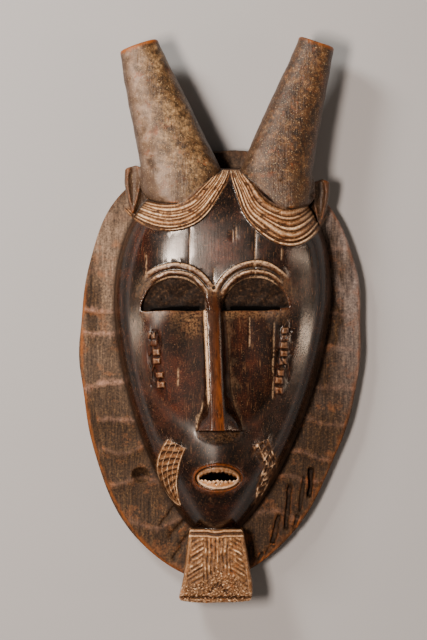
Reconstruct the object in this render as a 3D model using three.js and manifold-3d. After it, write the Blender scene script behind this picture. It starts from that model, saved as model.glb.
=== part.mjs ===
// A face mask carved from one block of hardwood: an egg-shaped head with a hollow back on a broad
// oval board, two cut-off horns, two small ears, rows of combed hair, an open mouth and a beard.
// It lies on its back. +Z is out of the face, +Y towards the horns, +X to the viewer's right, in mm.
import * as THREE from 'three';
import { LoftGeometry } from 'three/addons/geometries/LoftGeometry.js';
import { mergeVertices } from 'three/addons/utils/BufferGeometryUtils.js';
import Module from 'manifold-3d';

// Driving dimensions.
const HEAD_WIDTH = 163;
const HEAD_LENGTH = 282;
const HEAD_DEPTH = 46; // the face's rise above the board's front
const BOARD_WIDTH = 212;
const BOARD_LENGTH = 324;
const BOARD_THICKNESS = 15;
const WALL = 14; // wood left between the face and the hollow behind it
const HORN_LENGTH = 100; // from the crown's edge to the cut end
const HORN_ROOT_WIDTH = 57;
const HORN_END_WIDTH = 29;
const HORN_ROOT_FRONT = 58; // height of the horn's front face above the back of the board
const HORN_END_FRONT = 47;
const HORN_END_THICKNESS = 25;
const EAR_LENGTH = 37;
const EAR_WIDTH = 14;
const EAR_THICKNESS = 11;
const LOCK_RELIEF = 2.2; // depth of the grooves between the locks of hair
const HAIR_STEP = 1.6; // the hair's rise above the forehead
const BROW_WIDTH = 4.2;
const BROW_RELIEF = 2.2;
const SOCKET_DEPTH = 8;
const EYE_SLIT = 2.4;
const NOSE_WIDTH = 19;
const NOSTRIL_WIDTH = 34.4;
const NOSE_HEIGHT = 16;
const MOUTH_WIDTH = 37;
const MOUTH_HEIGHT = 21.8;
const LIP_WIDTH = 3.2;
const LIP_RELIEF = 3;
const MOUTH_LEDGE = 3; // the toothed ledge's depth below the lips
const TOOTH_WIDTH = 2.5;
const SCAR_RELIEF = 1.5;
const SCAR_WIDTH = 14;
const BEARD_LENGTH = 54;
const BEARD_TOP_WIDTH = 40;
const BEARD_END_WIDTH = 56;
const BEARD_THICKNESS = 24;
const BEARD_RELIEF = 1.3;
const EDGE_EASE = 2; // worn rounding of the board's edge
const KNOT_WIDTH = 14;
const KNOT_DEPTH = 9;

// Counts of what the carver repeated.
const LOCKS = 6;
const TEETH = 8;
const SCAR_ROWS = 9;
const SCAR_COLUMNS = 4;
const BEARD_CHEVRONS = 11;
const BEARD_STRANDS = 4;

// How finely the round forms are cut.
const HEAD_SIDES = 48;
const HOLLOW_SIDES = 36;
const BOARD_SIDES = 60;
const HORN_SIDES = 16;
const HAIR_STEPS = 13;

// The carving is laid out in hundredths of the head's width and length, from its widest line.
const W = HEAD_WIDTH / 100;
const L = HEAD_LENGTH / 100;
const LEAN = 0.032; // the head and the board lean a little to the viewer's right going up
const FACE_AXIS = -3.1 * W;
// An egg's crown and chin say how full its corners are, on the left and on the right: 2 is an ellipse.
const HEAD = {
  half: HEAD_WIDTH / 2,
  up: 34.9 * L,
  down: 65.1 * L,
  drop: 0,
  crown: [2.3, 2.3],
  chin: [1.55, 1.57],
};
const BOARD = {
  half: BOARD_WIDTH / 2,
  up: 0.438 * BOARD_LENGTH,
  down: 0.562 * BOARD_LENGTH,
  drop: 10.6 * L,
  crown: [2.45, 2.15],
  chin: [1.96, 1.84],
};
const HOLLOW = {
  half: HEAD.half - WALL,
  up: HEAD.up - WALL,
  down: HEAD.down - 2 * WALL,
  drop: 0,
  crown: [2.3, 2.3],
  chin: [1.7, 1.7],
};
const SIDE_ROUNDING = 4;
const CROWN_ROUNDING = 6; // added to the side rounding towards the crown, which ends in a blunt lip
const FOREHEAD = { x: 0.6 * W, y: 16.7 * L, wide: 27.6 * W, high: 11.3 * L, rise: HEAD_DEPTH / 10 };
const MUZZLE = { x: -1.6 * W, y: -45 * L, wide: 16 * W, high: 9.2 * L, rise: HEAD_DEPTH / 4 };
const MOUTH = { x: -1.9 * W, y: -47 * L };
const EYE_LINE = -3.07 * L;
const EYES = [-21.6 * W, 15 * W];
const EYE_HALF_WIDTH = 14.9 * W;
const EYE_HEIGHT = 9.2 * L;
const OUTSIDE = 120; // a height well above every carved face, where cutters start

const wasm = await Module();
wasm.setup();

const clamp01 = (t) => Math.min(1, Math.max(0, t));
const mix = (a, b, t) => a + (b - a) * t;
const range = (n) => Array.from({ length: n }, (_, i) => i);
const leanAt = (y) => LEAN * y;

// A value read from evenly spaced hand-set values, joined by a smooth curve.
function along(values, t) {
  const curve = new THREE.SplineCurve(values.map((v, i) => new THREE.Vector2(i, v)));
  return curve.getPoint(clamp01(t)).y;
}

// A skin over a row of sections. Its ends are capped flat, drawn to a point at the last, or joined.
function loft(sections, ends = 'flat') {
  const [first, second] = sections;
  const normal = new THREE.Vector3();
  first.forEach((p, i) => normal.add(new THREE.Vector3().crossVectors(p, first[(i + 1) % first.length])));
  const onward = middleOf(second).sub(middleOf(first));
  const rings = normal.dot(onward) < 0 ? sections.map((s) => [...s].reverse()) : [...sections];
  if (ends === 'point') {
    const last = rings[rings.length - 1];
    rings.push(last.map(() => middleOf(last)));
  }
  return solid(new LoftGeometry(rings, { capStart: ends !== 'joined', capEnd: ends === 'flat' }));
}

function middleOf(section) {
  return section.reduce((sum, p) => sum.add(p), new THREE.Vector3()).divideScalar(section.length);
}

// A closed geometry as a solid, without the empty triangles where a loft ends in a point.
function solid(geometry) {
  const plain = new THREE.BufferGeometry().copy(geometry);
  plain.deleteAttribute('normal');
  plain.deleteAttribute('uv');
  const merged = mergeVertices(plain, 1e-4);
  const corners = merged.index.array;
  const whole = [];
  for (let i = 0; i < corners.length; i += 3) {
    const [a, b, c] = corners.slice(i, i + 3);
    if (a !== b && b !== c && c !== a) whole.push(a, b, c);
  }
  const vertProperties = merged.attributes.position.array;
  return new wasm.Manifold(new wasm.Mesh({ numProp: 3, vertProperties, triVerts: new Uint32Array(whole) }));
}

const joinAll = (solids) => solids.reduce((whole, piece) => whole.add(piece));

// How far (x, y) is from an egg's middle, as a share of the way to its edge.
function eggShare(egg, x, y) {
  const v = y + egg.drop;
  const u = x - leanAt(y);
  const reach = v > 0 ? egg.up : egg.down;
  const n = (v > 0 ? egg.crown : egg.chin)[u > 0 ? 1 : 0];
  return Math.pow(Math.pow(Math.abs(u) / egg.half, n) + Math.pow(Math.abs(v) / reach, n), 1 / n);
}

function eggPoint(egg, angle, share) {
  const [c, s] = [Math.cos(angle), Math.sin(angle)];
  const reach = s > 0 ? egg.up : egg.down;
  const n = (s > 0 ? egg.crown : egg.chin)[c > 0 ? 1 : 0];
  const y = share * reach * Math.sign(s) * Math.pow(Math.abs(s), 2 / n) - egg.drop;
  return [share * egg.half * Math.sign(c) * Math.pow(Math.abs(c), 2 / n) + leanAt(y), y];
}

const swell = (b, x, y) => b.rise * Math.exp(-(((x - b.x) / b.wide) ** 2 + ((y - b.y) / b.high) ** 2) / 2);

// Height of the head's skin over (x, y), before anything is carved into it.
function skin(x, y) {
  const r = eggShare(HEAD, x, y);
  if (r >= 1) return BOARD_THICKNESS;
  const upward = r > 0 ? Math.max(0, y / HEAD.up / r) : 0;
  const dome = Math.sqrt(1 - Math.pow(r, SIDE_ROUNDING + CROWN_ROUNDING * upward * upward));
  const swells = (1 - r ** 4) * (swell(FOREHEAD, x, y) + swell(MUZZLE, x, y));
  return BOARD_THICKNESS + HEAD_DEPTH * dome + swells;
}

function hollowSkin(x, y) {
  const r = Math.min(1, eggShare(HOLLOW, x, y));
  const roof = BOARD_THICKNESS + HEAD_DEPTH - WALL + 0.8 * swell(MUZZLE, x, y);
  return roof * Math.sqrt(1 - r ** 4);
}

function eggRing(egg, count, share, height) {
  return range(count).map((i) => {
    const [x, y] = eggPoint(egg, ((i + 0.5) / count) * 2 * Math.PI, share);
    return new THREE.Vector3(x, y, height(x, y));
  });
}

// The board, with its edge eased all round and a broad worn bevel at the lower left.
function board() {
  const bevelAngle = 1.19 * Math.PI;
  const bevel = (angle) => Math.exp(-(((angle - bevelAngle) / 0.42) ** 2));
  const ring = (inset, z, bevelInset, bevelDrop) =>
    range(BOARD_SIDES).map((i) => {
      const angle = ((i + 0.5) / BOARD_SIDES) * 2 * Math.PI;
      const uneven = 0.7 * Math.sin(7 * angle + 1) + 0.5 * Math.sin(13 * angle);
      const inward = 1 - (inset + bevelInset * bevel(angle) + uneven) / BOARD.half;
      const [x, y] = eggPoint(BOARD, angle, inward);
      return new THREE.Vector3(x, y, z - bevelDrop * bevel(angle));
    });
  const front = BOARD_THICKNESS;
  return loft([
    ring(EDGE_EASE / 2, 0, 0, 0),
    ring(0, EDGE_EASE / 2, 0, 0),
    ring(0, front - EDGE_EASE, 0, 0.35 * front),
    ring(EDGE_EASE, front, EDGE_EASE, 0),
  ]);
}

function head() {
  const shares = [1, 0.985, 0.95, 0.9, 0.83, 0.74, 0.63, 0.5, 0.36, 0.2, 0.07];
  const foot = eggRing(HEAD, HEAD_SIDES, 1, () => BOARD_THICKNESS / 2);
  return loft([foot, ...shares.map((s) => eggRing(HEAD, HEAD_SIDES, s, skin))], 'point');
}

function hollow() {
  const shares = [1, 0.98, 0.93, 0.84, 0.7, 0.5, 0.26, 0.08];
  const rim = eggRing(HOLLOW, HOLLOW_SIDES, 1, () => -1);
  return loft([rim, ...shares.map((s) => eggRing(HOLLOW, HOLLOW_SIDES, s, hollowSkin))], 'point');
}

// A strip of carving laid over the block: at(t, f) is its surface, from end to end and side to side.
function carvedStrip(stations, across, at, under = () => BOARD_THICKNESS / 2) {
  return loft(
    range(stations).map((i) => {
      const t = i / (stations - 1);
      const top = range(across).map((j) => at(t, j / (across - 1), i, j));
      const [first, last] = [top[0], top[across - 1]];
      const low = (p) => new THREE.Vector3(p.x, p.y, under(p, t));
      return [...top, low(last), low(first)];
    }),
  );
}

// The two sweeps of hair, each a fan of locks between a horn's foot and the hairline.
const HAIR = [
  {
    side: -1,
    x: -21.5 * W,
    y: 34.4 * L,
    end: 0.79 * Math.PI,
    inner: [19, 15.3, 16, 17.6, 20.9].map((v) => v * W),
    outer: [25.4, 24.2, 27.6, 29.5, 29.8].map((v) => v * W),
  },
  {
    side: 1,
    x: 25.2 * W,
    y: 34.4 * L,
    end: 0.76 * Math.PI,
    inner: [16.6, 13.8, 16, 19.6, 20.6].map((v) => v * W),
    outer: [21.5, 22.6, 29.5, 36.6, 31.5].map((v) => v * W),
  },
];

function hair(sweep) {
  return carvedStrip(
    HAIR_STEPS,
    2 * LOCKS + 1,
    (t, f, i, j) => {
      const angle = sweep.end * t;
      const radius = mix(along(sweep.inner, t) - 1, along(sweep.outer, t), f);
      const x = sweep.x - sweep.side * radius * Math.cos(angle);
      const y = sweep.y - radius * Math.sin(angle);
      const crest = j % 2 ? LOCK_RELIEF : 0;
      const narrow = clamp01((along(sweep.outer, t) - along(sweep.inner, t)) / (12 * W));
      return new THREE.Vector3(x, y, skin(x, y) + HAIR_STEP - LOCK_RELIEF * 0.4 + crest * narrow);
    },
  );
}

// Horns: foot is the lowest point on the head, root where the horn leaves the crown.
const HORNS = [
  { side: -1, foot: [-20.9 * W, 24.8 * L], root: [-18.7 * W, 34 * L], length: 0.985, width: 1, tilt: 0.325 },
  { side: 1, foot: [28.8 * W, 23.4 * L], root: [24.2 * W, 33 * L], length: 1.03, width: 0.92, tilt: 0.3 },
];
const HORN_BACK_SPREAD = 0.05; // the horn's back is wider than its front by twice this share
const HORN_HELD = 0.19; // share of the horn's length whose back is still part of the board

function hornAxis(horn) {
  const reach = HORN_LENGTH * horn.length;
  const root = new THREE.Vector3(...horn.root, 0);
  const way = new THREE.Vector3(horn.side * Math.sin(horn.tilt), Math.cos(horn.tilt), 0);
  return { foot: new THREE.Vector3(...horn.foot, 0), root, end: root.clone().addScaledVector(way, reach) };
}

function horn(h) {
  const { foot, root, end } = hornAxis(h);
  const footStations = [0.03, 0.12, 0.3, 0.55, 0.8];
  const shaftStations = [0, HORN_HELD, 0.45, 0.72, 0.97, 1];
  const section = (middle, way, halfWidth, back, front) => {
    const acrossWay = new THREE.Vector3(way.y, -way.x, 0);
    return range(HORN_SIDES).map((i) => {
      const angle = ((i + 0.5) / HORN_SIDES) * 2 * Math.PI;
      const [c, s] = [Math.cos(angle), Math.sin(angle)];
      const u = Math.sign(c) * Math.pow(Math.abs(c), 0.78);
      const v = Math.sign(s) * Math.pow(Math.abs(s), 0.78);
      const p = middle.clone().addScaledVector(acrossWay, u * halfWidth * (1 - HORN_BACK_SPREAD * v));
      p.z = mix(back, front, 0.5 + v / 2);
      return p;
    });
  };
  const halfRoot = (HORN_ROOT_WIDTH * h.width) / 2;
  const halfEnd = (HORN_END_WIDTH * h.width) / 2;
  const onHead = skin(foot.x, foot.y) + HAIR_STEP + LOCK_RELIEF;
  const low = BOARD_THICKNESS - 3;
  const endBack = HORN_END_FRONT - HORN_END_THICKNESS;
  const footWay = root.clone().sub(foot).normalize();
  const shaftWay = end.clone().sub(root).normalize();
  const footSections = footStations.map((t) => {
    const rounded = Math.sqrt(1 - (1 - t) ** 2);
    const front = mix(onHead, HORN_ROOT_FRONT, t);
    return section(foot.clone().lerp(root, t), footWay, halfRoot * rounded, low, front);
  });
  const shaftSections = shaftStations.map((t) => {
    const way = t ? shaftWay : footWay.clone().add(shaftWay).normalize();
    const worn = t === 1 ? 1.2 : 0;
    const back = mix(low, endBack, clamp01((t - HORN_HELD) / (1 - HORN_HELD)));
    const front = mix(HORN_ROOT_FRONT, HORN_END_FRONT, t);
    return section(root.clone().lerp(end, t), way, mix(halfRoot, halfEnd, t) - worn, back + worn, front - worn);
  });
  return loft([...footSections, ...shaftSections]);
}

// A splinter lost from the outer edge of the right horn, near its end.
function hornChip() {
  const { root, end } = hornAxis(HORNS[1]);
  const outer = (t, out) => {
    const p = root.clone().lerp(end, t);
    p.x += mix(HORN_ROOT_WIDTH, HORN_END_WIDTH, t) * 0.46 + out;
    return p;
  };
  const front = HORN_END_FRONT;
  return loft(
    [
      [0.62, 0.4],
      [0.72, -2.2],
      [0.9, -3],
      [1.03, -1.4],
    ].map(([t, out]) => {
      const p = outer(t, out);
      const corner = (dx, z) => new THREE.Vector3(p.x + dx, p.y, z);
      return [corner(0, front - 9), corner(12, front - 9), corner(12, front + 9), corner(-2, front + 9)];
    }),
  );
}

// Ears: small cupped leaves that stand at the sides of the horns' feet.
const EARS = [
  { side: -1, low: [-41 * W, 22.6 * L], high: [-40.6 * W, 35.5 * L] },
  { side: 1, low: [44.6 * W, 18.9 * L], high: [45.2 * W, 31.8 * L] },
];

function ear({ side, low, high }) {
  const middle = BOARD_THICKNESS + EAR_THICKNESS;
  const bottom = new THREE.Vector3(...low, middle - 3);
  const top = new THREE.Vector3(...high, middle);
  const way = top.clone().sub(bottom).setLength(EAR_LENGTH);
  return loft(
    [0, 0.2, 0.45, 0.7, 0.88, 1].map((t) => {
      const half = (EAR_WIDTH / 2) * along([0.25, 0.5, 0.82, 1, 0.86], t);
      const thick = (EAR_THICKNESS / 2) * along([0.9, 1, 1, 0.9, 0.55], t);
      const centre = bottom.clone().addScaledVector(way, t);
      const cup = 0.5 * EAR_THICKNESS * Math.sin(Math.PI * clamp01(t * 1.1));
      const rim = [
        [-1, 0.2],
        [-0.75, 1],
        [0, 1 - cup / thick / 2],
        [0.75, 1],
        [1, 0.2],
        [0.9, -1],
        [-0.9, -1],
      ];
      const inward = side > 0 ? -1 : 1;
      return rim.map(([u, v]) => {
        const deep = v < 0 && u * inward > 0 ? BOARD_THICKNESS / 2 : 0;
        return new THREE.Vector3(centre.x + u * half, centre.y, centre.z + v * thick - deep);
      });
    }),
  );
}

// A point on an arch over an eye; grow widens the eye's own outline, in mm.
function eyeArch(x, grow, angle) {
  const px = x + (EYE_HALF_WIDTH + grow) * Math.cos(angle);
  return [px, EYE_LINE + (EYE_HEIGHT + grow) * Math.sin(angle)];
}

// One raised line of a brow, thinning out at both ends.
function browLine(x, grow, from, to) {
  return carvedStrip(
    13,
    4,
    (t, f) => {
      const thin = 0.35 + 0.65 * Math.sin(Math.PI * t) ** 0.6;
      const offset = grow + (f - 0.5) * BROW_WIDTH * thin;
      const [px, py] = eyeArch(x, offset, mix(from, to, t));
      const crest = f > 0.2 && f < 0.8 ? BROW_RELIEF * thin : -0.4;
      return new THREE.Vector3(px, py, skin(px, py) + crest);
    },
  );
}

// The half-moon socket: its floor slopes from the arch down to a straight ledge below.
function socket(x) {
  const arch = range(15).map((i) => eyeArch(x, 0, (i / 14) * Math.PI));
  const ledge = [0.6, 0.2, -0.2, -0.6].map((u) => [x - u * EYE_HALF_WIDTH, EYE_LINE]);
  const outline = [...arch, ...ledge];
  const fall = (y) => mix(SOCKET_DEPTH, 0.15 * SOCKET_DEPTH, clamp01((y - EYE_LINE) / EYE_HEIGHT));
  const ring = (share, height) =>
    outline.map(([px, py]) => {
      const [qx, qy] = [mix(x, px, share), mix(EYE_LINE + 0.3 * EYE_HEIGHT, py, share)];
      return new THREE.Vector3(qx, qy, height(qx, qy));
    });
  const floor = (px, py) => skin(px, py) - fall(py);
  return loft([ring(1, () => OUTSIDE), ring(1, floor), ring(0.5, floor)], 'point');
}

function box(width, height, depth, x, y, z, turn = 0) {
  const geometry = new THREE.BoxGeometry(width, height, depth);
  geometry.rotateZ(turn);
  geometry.translate(x, y, z);
  return solid(geometry);
}

function eyeSlit(x) {
  return box(1.5 * EYE_HALF_WIDTH, EYE_SLIT, OUTSIDE, x, EYE_LINE + EYE_SLIT / 2 + 0.3, OUTSIDE / 2 + WALL);
}

// The nose: a long ridge that flares into two flat wings, cut off square below.
function nose() {
  const stations = [
    { y: 3.2, wide: 0.42, ridge: 0.24, high: 0.1 },
    { y: -0.5, wide: 0.6, ridge: 0.42, high: 0.34 },
    { y: -3.6, wide: 0.86, ridge: 0.46, high: 0.56 },
    { y: -10, wide: 0.95, ridge: 0.44, high: 0.7 },
    { y: -18, wide: 1, ridge: 0.42, high: 0.8 },
    { y: -25, wide: 1, ridge: 0.4, high: 0.9 },
    { y: -29, wide: 1, ridge: 0.42, high: 0.95, flare: 0.4 },
    { y: -32.2, wide: 1, ridge: 0.46, high: 1, flare: 0.85 },
    { y: -34.4, wide: 1, ridge: 0.5, high: 1, flare: 1 },
  ];
  return loft(
    stations.map(({ y: share, wide, ridge, high, flare = 0 }) => {
      const y = share * L;
      const down = clamp01((2.5 - share) / 37);
      const x = FACE_AXIS + mix(-0.8, 1.9, down) * W;
      const half = mix((NOSE_WIDTH * wide) / 2, NOSTRIL_WIDTH / 2, flare);
      const halfRidge = (NOSE_WIDTH * ridge) / 2;
      const side = mix(halfRidge + 0.3 * (half - halfRidge), 0.86 * half, flare);
      const sideHigh = mix(0.4, 0.56, flare);
      const base = skin(x, y);
      const tip = NOSE_HEIGHT * high;
      const shift = -0.9 * W;
      const at = (dx, dz) => new THREE.Vector3(x + dx, y, Math.min(base, skin(x + dx, y)) + dz);
      const top = (dx) => new THREE.Vector3(x + shift + dx, y, base + tip);
      return [
        at(-half, -5),
        at(-half, 0),
        at(shift / 2 - side, tip * sideHigh),
        top(-halfRidge),
        top(halfRidge),
        at(shift / 2 + side, tip * sideHigh),
        at(half, 0),
        at(half, -5),
      ];
    }),
  );
}

const mouthRing = (halfWidth, halfHeight, height, count = 24) =>
  range(count).map((i) => {
    const angle = (i / count) * 2 * Math.PI;
    const [x, y] = [MOUTH.x + halfWidth * Math.cos(angle), MOUTH.y + halfHeight * Math.sin(angle)];
    return new THREE.Vector3(x, y, height(x, y));
  });

function lips() {
  const ring = (inset, rise) =>
    mouthRing(MOUTH_WIDTH / 2 - inset, MOUTH_HEIGHT / 2 - inset, (x, y) => skin(x, y) + rise);
  const profile = [
    ring(-0.8, -6),
    ring(-0.8, 0),
    ring(0.4, LIP_RELIEF * 0.8),
    ring(LIP_WIDTH * 0.5, LIP_RELIEF),
    ring(LIP_WIDTH, LIP_RELIEF * 0.6),
    ring(LIP_WIDTH, -6),
  ];
  const around = profile[0].map((_, i) => profile.map((r) => r[i]));
  return loft([...around, around[0]], 'joined');
}

function mouthCutters() {
  const inside = (MOUTH_HEIGHT / 2 - LIP_WIDTH) * 0.98;
  const across = (MOUTH_WIDTH / 2 - LIP_WIDTH) * 0.98;
  const ledge = loft([
    mouthRing(across, inside, (x, y) => skin(x, y) - MOUTH_LEDGE),
    mouthRing(across, inside, () => OUTSIDE),
  ]);
  const gap = loft([
    mouthRing(0.86 * across, 0.52 * inside, () => BOARD_THICKNESS),
    mouthRing(0.86 * across, 0.52 * inside, () => OUTSIDE),
  ]);
  return [ledge, gap];
}

// Two rows of small teeth on the ledge inside the lips.
function teeth() {
  const pitch = TOOTH_WIDTH * 1.3;
  const reach = MOUTH_HEIGHT / 2 - LIP_WIDTH;
  const deep = MOUTH_LEDGE + 4;
  return [-1, 1].flatMap((row) =>
    range(TEETH).map((i) => {
      const x = (i - (TEETH - 1) / 2) * pitch;
      const arch = Math.sqrt(1 - (x / (MOUTH_WIDTH / 2)) ** 2);
      const y = row * (reach * arch - 1.7);
      const [px, py] = [MOUTH.x + x, MOUTH.y + y];
      return box(TOOTH_WIDTH, 3.6, deep, px, py, skin(px, py) - 1 - deep / 2);
    }),
  );
}

// A curved patch of pyramid-cut scars on the jaw. Worn patches keep only part of their relief.
const PATCHES = [
  {
    line: [[-19.6, -37.4], [-23.5, -43.8], [-23.5, -49], [-21.3, -53], [-19, -56.3]],
    width: [0.62, 0.98, 0.8, 0.5, 0.12],
    columns: SCAR_COLUMNS,
    worn: 0,
  },
  {
    line: [[18.4, -36.9], [21.5, -40.4], [21.8, -45], [19, -49.6], [15.9, -53.2]],
    width: [0.86, 0.72, 0.7, 0.55, 0.2],
    columns: SCAR_COLUMNS - 1,
    worn: 0.7,
  },
];

function scarPatch({ line, width, columns, worn }) {
  const path = new THREE.SplineCurve(line.map(([x, y]) => new THREE.Vector2(x * W, y * L)));
  return carvedStrip(
    2 * SCAR_ROWS + 1,
    2 * columns + 1,
    (t, f, i, j) => {
      const p = path.getPoint(t);
      const way = path.getTangent(t);
      const out = (f - 0.5) * SCAR_WIDTH * along(width, t);
      const [x, y] = [p.x - way.y * out, p.y + way.x * out];
      const stud = i % 2 && j % 2 ? SCAR_RELIEF * (1 - worn * (0.5 + 0.5 * Math.sin(2.3 * i + 5 * j))) : 0;
      const rim = j === 0 || j === 2 * columns ? 0.5 * SCAR_RELIEF * (1 - worn) : 0;
      return new THREE.Vector3(x, y, skin(x, y) + 0.2 + stud + rim);
    },
  );
}

// Two columns of small block scars below the eyes, as [share across, share along, turn].
const BLOCKS = [
  [-31.8, -10.2, 0.1],
  [-31.2, -12.6, 0.1],
  [-30.7, -15, 0.1],
  [-30.2, -17.4, 0.1],
  [-29.4, -20.2, 0.1],
  [-28.6, -22.6, 0.1],
  [28.2, -8.4, -0.08],
  [27.9, -10.8, -0.08],
  [27.6, -13.2, -0.08],
  [27.2, -15.6, -0.08],
  [26.8, -18, -0.08],
  [26.2, -20.6, -0.08],
  [25.6, -23.2, -0.08],
];
const BLOCK = { wide: 5.6, high: 4.4, deep: 4 };

const blockScars = () =>
  BLOCKS.map(([u, v, turn]) => {
    const [x, y] = [u * W, v * L];
    return box(BLOCK.wide, BLOCK.high, BLOCK.deep, x, y, skin(x, y) + SCAR_RELIEF - BLOCK.deep / 2, turn);
  });

// The beard: a slab flaring downwards, with chevron strokes at its sides and straight ones between.
function beard() {
  const top = -61 * L;
  const rows = 2 * BEARD_CHEVRONS + 1;
  const side = 0.27;
  const strands = range(2 * BEARD_STRANDS + 1).map((j) => side + ((1 - 2 * side) * j) / (2 * BEARD_STRANDS));
  const shares = [0, 0.05, 0.16, ...strands, 0.84, 0.95, 1];
  const root = skin(FACE_AXIS, top);
  const front = (t) => mix(root + 2, BOARD_THICKNESS + BEARD_THICKNESS + 6, t);
  return carvedStrip(
    rows,
    shares.length,
    (t, _f, i, j) => {
      const share = shares[j];
      const fromMiddle = Math.abs(share - 0.5) * 2;
      const half = mix(BEARD_TOP_WIDTH, BEARD_END_WIDTH, t) / 2;
      const inSide = share < side || share > 1 - side;
      const free = Math.sin(Math.PI * clamp01(t)) ** 0.5;
      const slant = 7 * Math.max(0, fromMiddle - (1 - 2 * side)) * free;
      const y = top - t * BEARD_LENGTH - slant + 1.5 * free * (1 - fromMiddle);
      const stroke = inSide && j > 1 && j < shares.length - 2 && i % 2 ? BEARD_RELIEF : 0;
      const strand = !inSide && j % 2 && t < 0.62 ? BEARD_RELIEF : 0;
      const border = j === 1 || j === shares.length - 2 ? BEARD_RELIEF : 0;
      const edge = j === 0 || j === shares.length - 1 ? -2.5 : 0;
      const z = front(t) - 1.5 * fromMiddle ** 2 + stroke + strand + border + edge;
      return new THREE.Vector3(FACE_AXIS - 0.2 * W + (2 * share - 1) * half, y, z);
    },
    (_p, t) => mix(BOARD_THICKNESS / 2, BOARD_THICKNESS + 5, clamp01((t - 0.25) / 0.4)),
  );
}

// A tapering hole cut into the board's front: long, narrow ones are gouges.
function pit(x, y, wide, high, depth, turn) {
  const ring = (scale, z, shift) =>
    range(10).map((i) => {
      const angle = (i / 10) * 2 * Math.PI;
      const p = new THREE.Vector2((wide / 2) * scale * Math.cos(angle), (high / 2) * scale * Math.sin(angle));
      p.rotateAround(new THREE.Vector2(), turn);
      return new THREE.Vector3(x + p.x + shift, y + p.y + shift, z);
    });
  return loft([
    ring(0.5, BOARD_THICKNESS - depth, 0.1 * wide),
    ring(1, BOARD_THICKNESS + 0.01, 0),
    ring(1.1, BOARD_THICKNESS + 3, 0),
  ]);
}

const GOUGES = [
  { x: 40.6, y: -49, wide: 4.4, high: 24, depth: 5, turn: -0.1 },
  { x: 30.4, y: -55.5, wide: 4, high: 38, depth: 3, turn: -0.08 },
  { x: 24.7, y: -61.4, wide: 4, high: 25, depth: 2.6, turn: -0.3 },
];

function carve() {
  const mask = joinAll([board(), head(), ...HORNS.map(horn), ...EARS.map(ear), beard()]);
  const faceWork = [
    ...HAIR.map(hair),
    nose(),
    ...PATCHES.map(scarPatch),
    ...blockScars(),
    lips(),
  ];
  const brows = EYES.flatMap((x, i) => {
    const [from, to] = i ? [0.25, 0.84] : [0.16, 0.73];
    return [1, 2].map((n) => browLine(x, (n - 0.5) * BROW_WIDTH, Math.PI * from, Math.PI * to));
  });
  const cutters = [
    ...EYES.map(socket),
    ...EYES.map(eyeSlit),
    ...mouthCutters(),
    hollow(),
    hornChip(),
    pit(-36.8 * W, -47.2 * L, KNOT_WIDTH, KNOT_WIDTH * 0.92, KNOT_DEPTH, 0),
    ...GOUGES.map((g) => pit(g.x * W, g.y * L, g.wide, g.high, g.depth, g.turn)),
  ];
  const carved = cutters.reduce((rest, cutter) => rest.subtract(cutter), joinAll([mask, ...faceWork, ...brows]));
  return joinAll([carved, ...teeth()]);
}

function geometryOf(whole) {
  const { numProp, vertProperties, triVerts } = whole.getMesh();
  const positions = new Float32Array((vertProperties.length / numProp) * 3);
  for (let i = 0; i < positions.length / 3; i++) {
    positions.set(vertProperties.subarray(i * numProp, i * numProp + 3), i * 3);
  }
  const geometry = new THREE.BufferGeometry();
  geometry.setAttribute('position', new THREE.BufferAttribute(positions, 3));
  geometry.setIndex(new THREE.BufferAttribute(triVerts, 1));
  return geometry;
}

// The origin is under the middle of the mask, on the plane that it lies on.
const geometry = geometryOf(carve());
geometry.computeBoundingBox();
const { min, max } = geometry.boundingBox;
geometry.translate(-(min.x + max.x) / 2, -(min.y + max.y) / 2, -min.z);
geometry.computeVertexNormals();

const darkWood = new THREE.MeshStandardMaterial({ color: 0x4a2d1c, roughness: 0.5, metalness: 0 });
const mask = new THREE.Mesh(geometry, darkWood);
mask.name = 'carved_mask';

const group = new THREE.Group();
group.add(mask);

export default group;
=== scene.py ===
"""A carved wooden face mask lying on its back, dressed over its plain solid.

The block is laid out in millimetres from the middle of the head's widest line, as a field that is
negative inside the wood, and a skin is drawn where the field is nought. Blender works in metres.
"""

import math
from functools import partial

import bpy
import numpy as np
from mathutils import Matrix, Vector


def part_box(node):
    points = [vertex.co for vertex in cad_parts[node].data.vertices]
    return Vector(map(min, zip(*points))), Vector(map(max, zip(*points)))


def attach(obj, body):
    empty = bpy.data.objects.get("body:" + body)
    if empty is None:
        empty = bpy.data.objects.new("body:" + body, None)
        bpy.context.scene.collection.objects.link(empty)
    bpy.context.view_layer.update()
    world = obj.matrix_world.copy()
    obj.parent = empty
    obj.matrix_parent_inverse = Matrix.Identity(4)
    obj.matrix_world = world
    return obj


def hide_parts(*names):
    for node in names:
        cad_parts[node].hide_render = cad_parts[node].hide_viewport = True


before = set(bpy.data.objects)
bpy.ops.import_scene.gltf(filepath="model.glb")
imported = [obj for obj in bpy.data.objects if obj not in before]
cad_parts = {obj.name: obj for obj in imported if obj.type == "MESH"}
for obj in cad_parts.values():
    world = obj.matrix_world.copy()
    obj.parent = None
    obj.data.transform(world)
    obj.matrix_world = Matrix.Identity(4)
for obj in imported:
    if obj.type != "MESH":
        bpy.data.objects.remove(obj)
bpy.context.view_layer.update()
MASK = "carved_mask"
MM = 0.001

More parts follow.
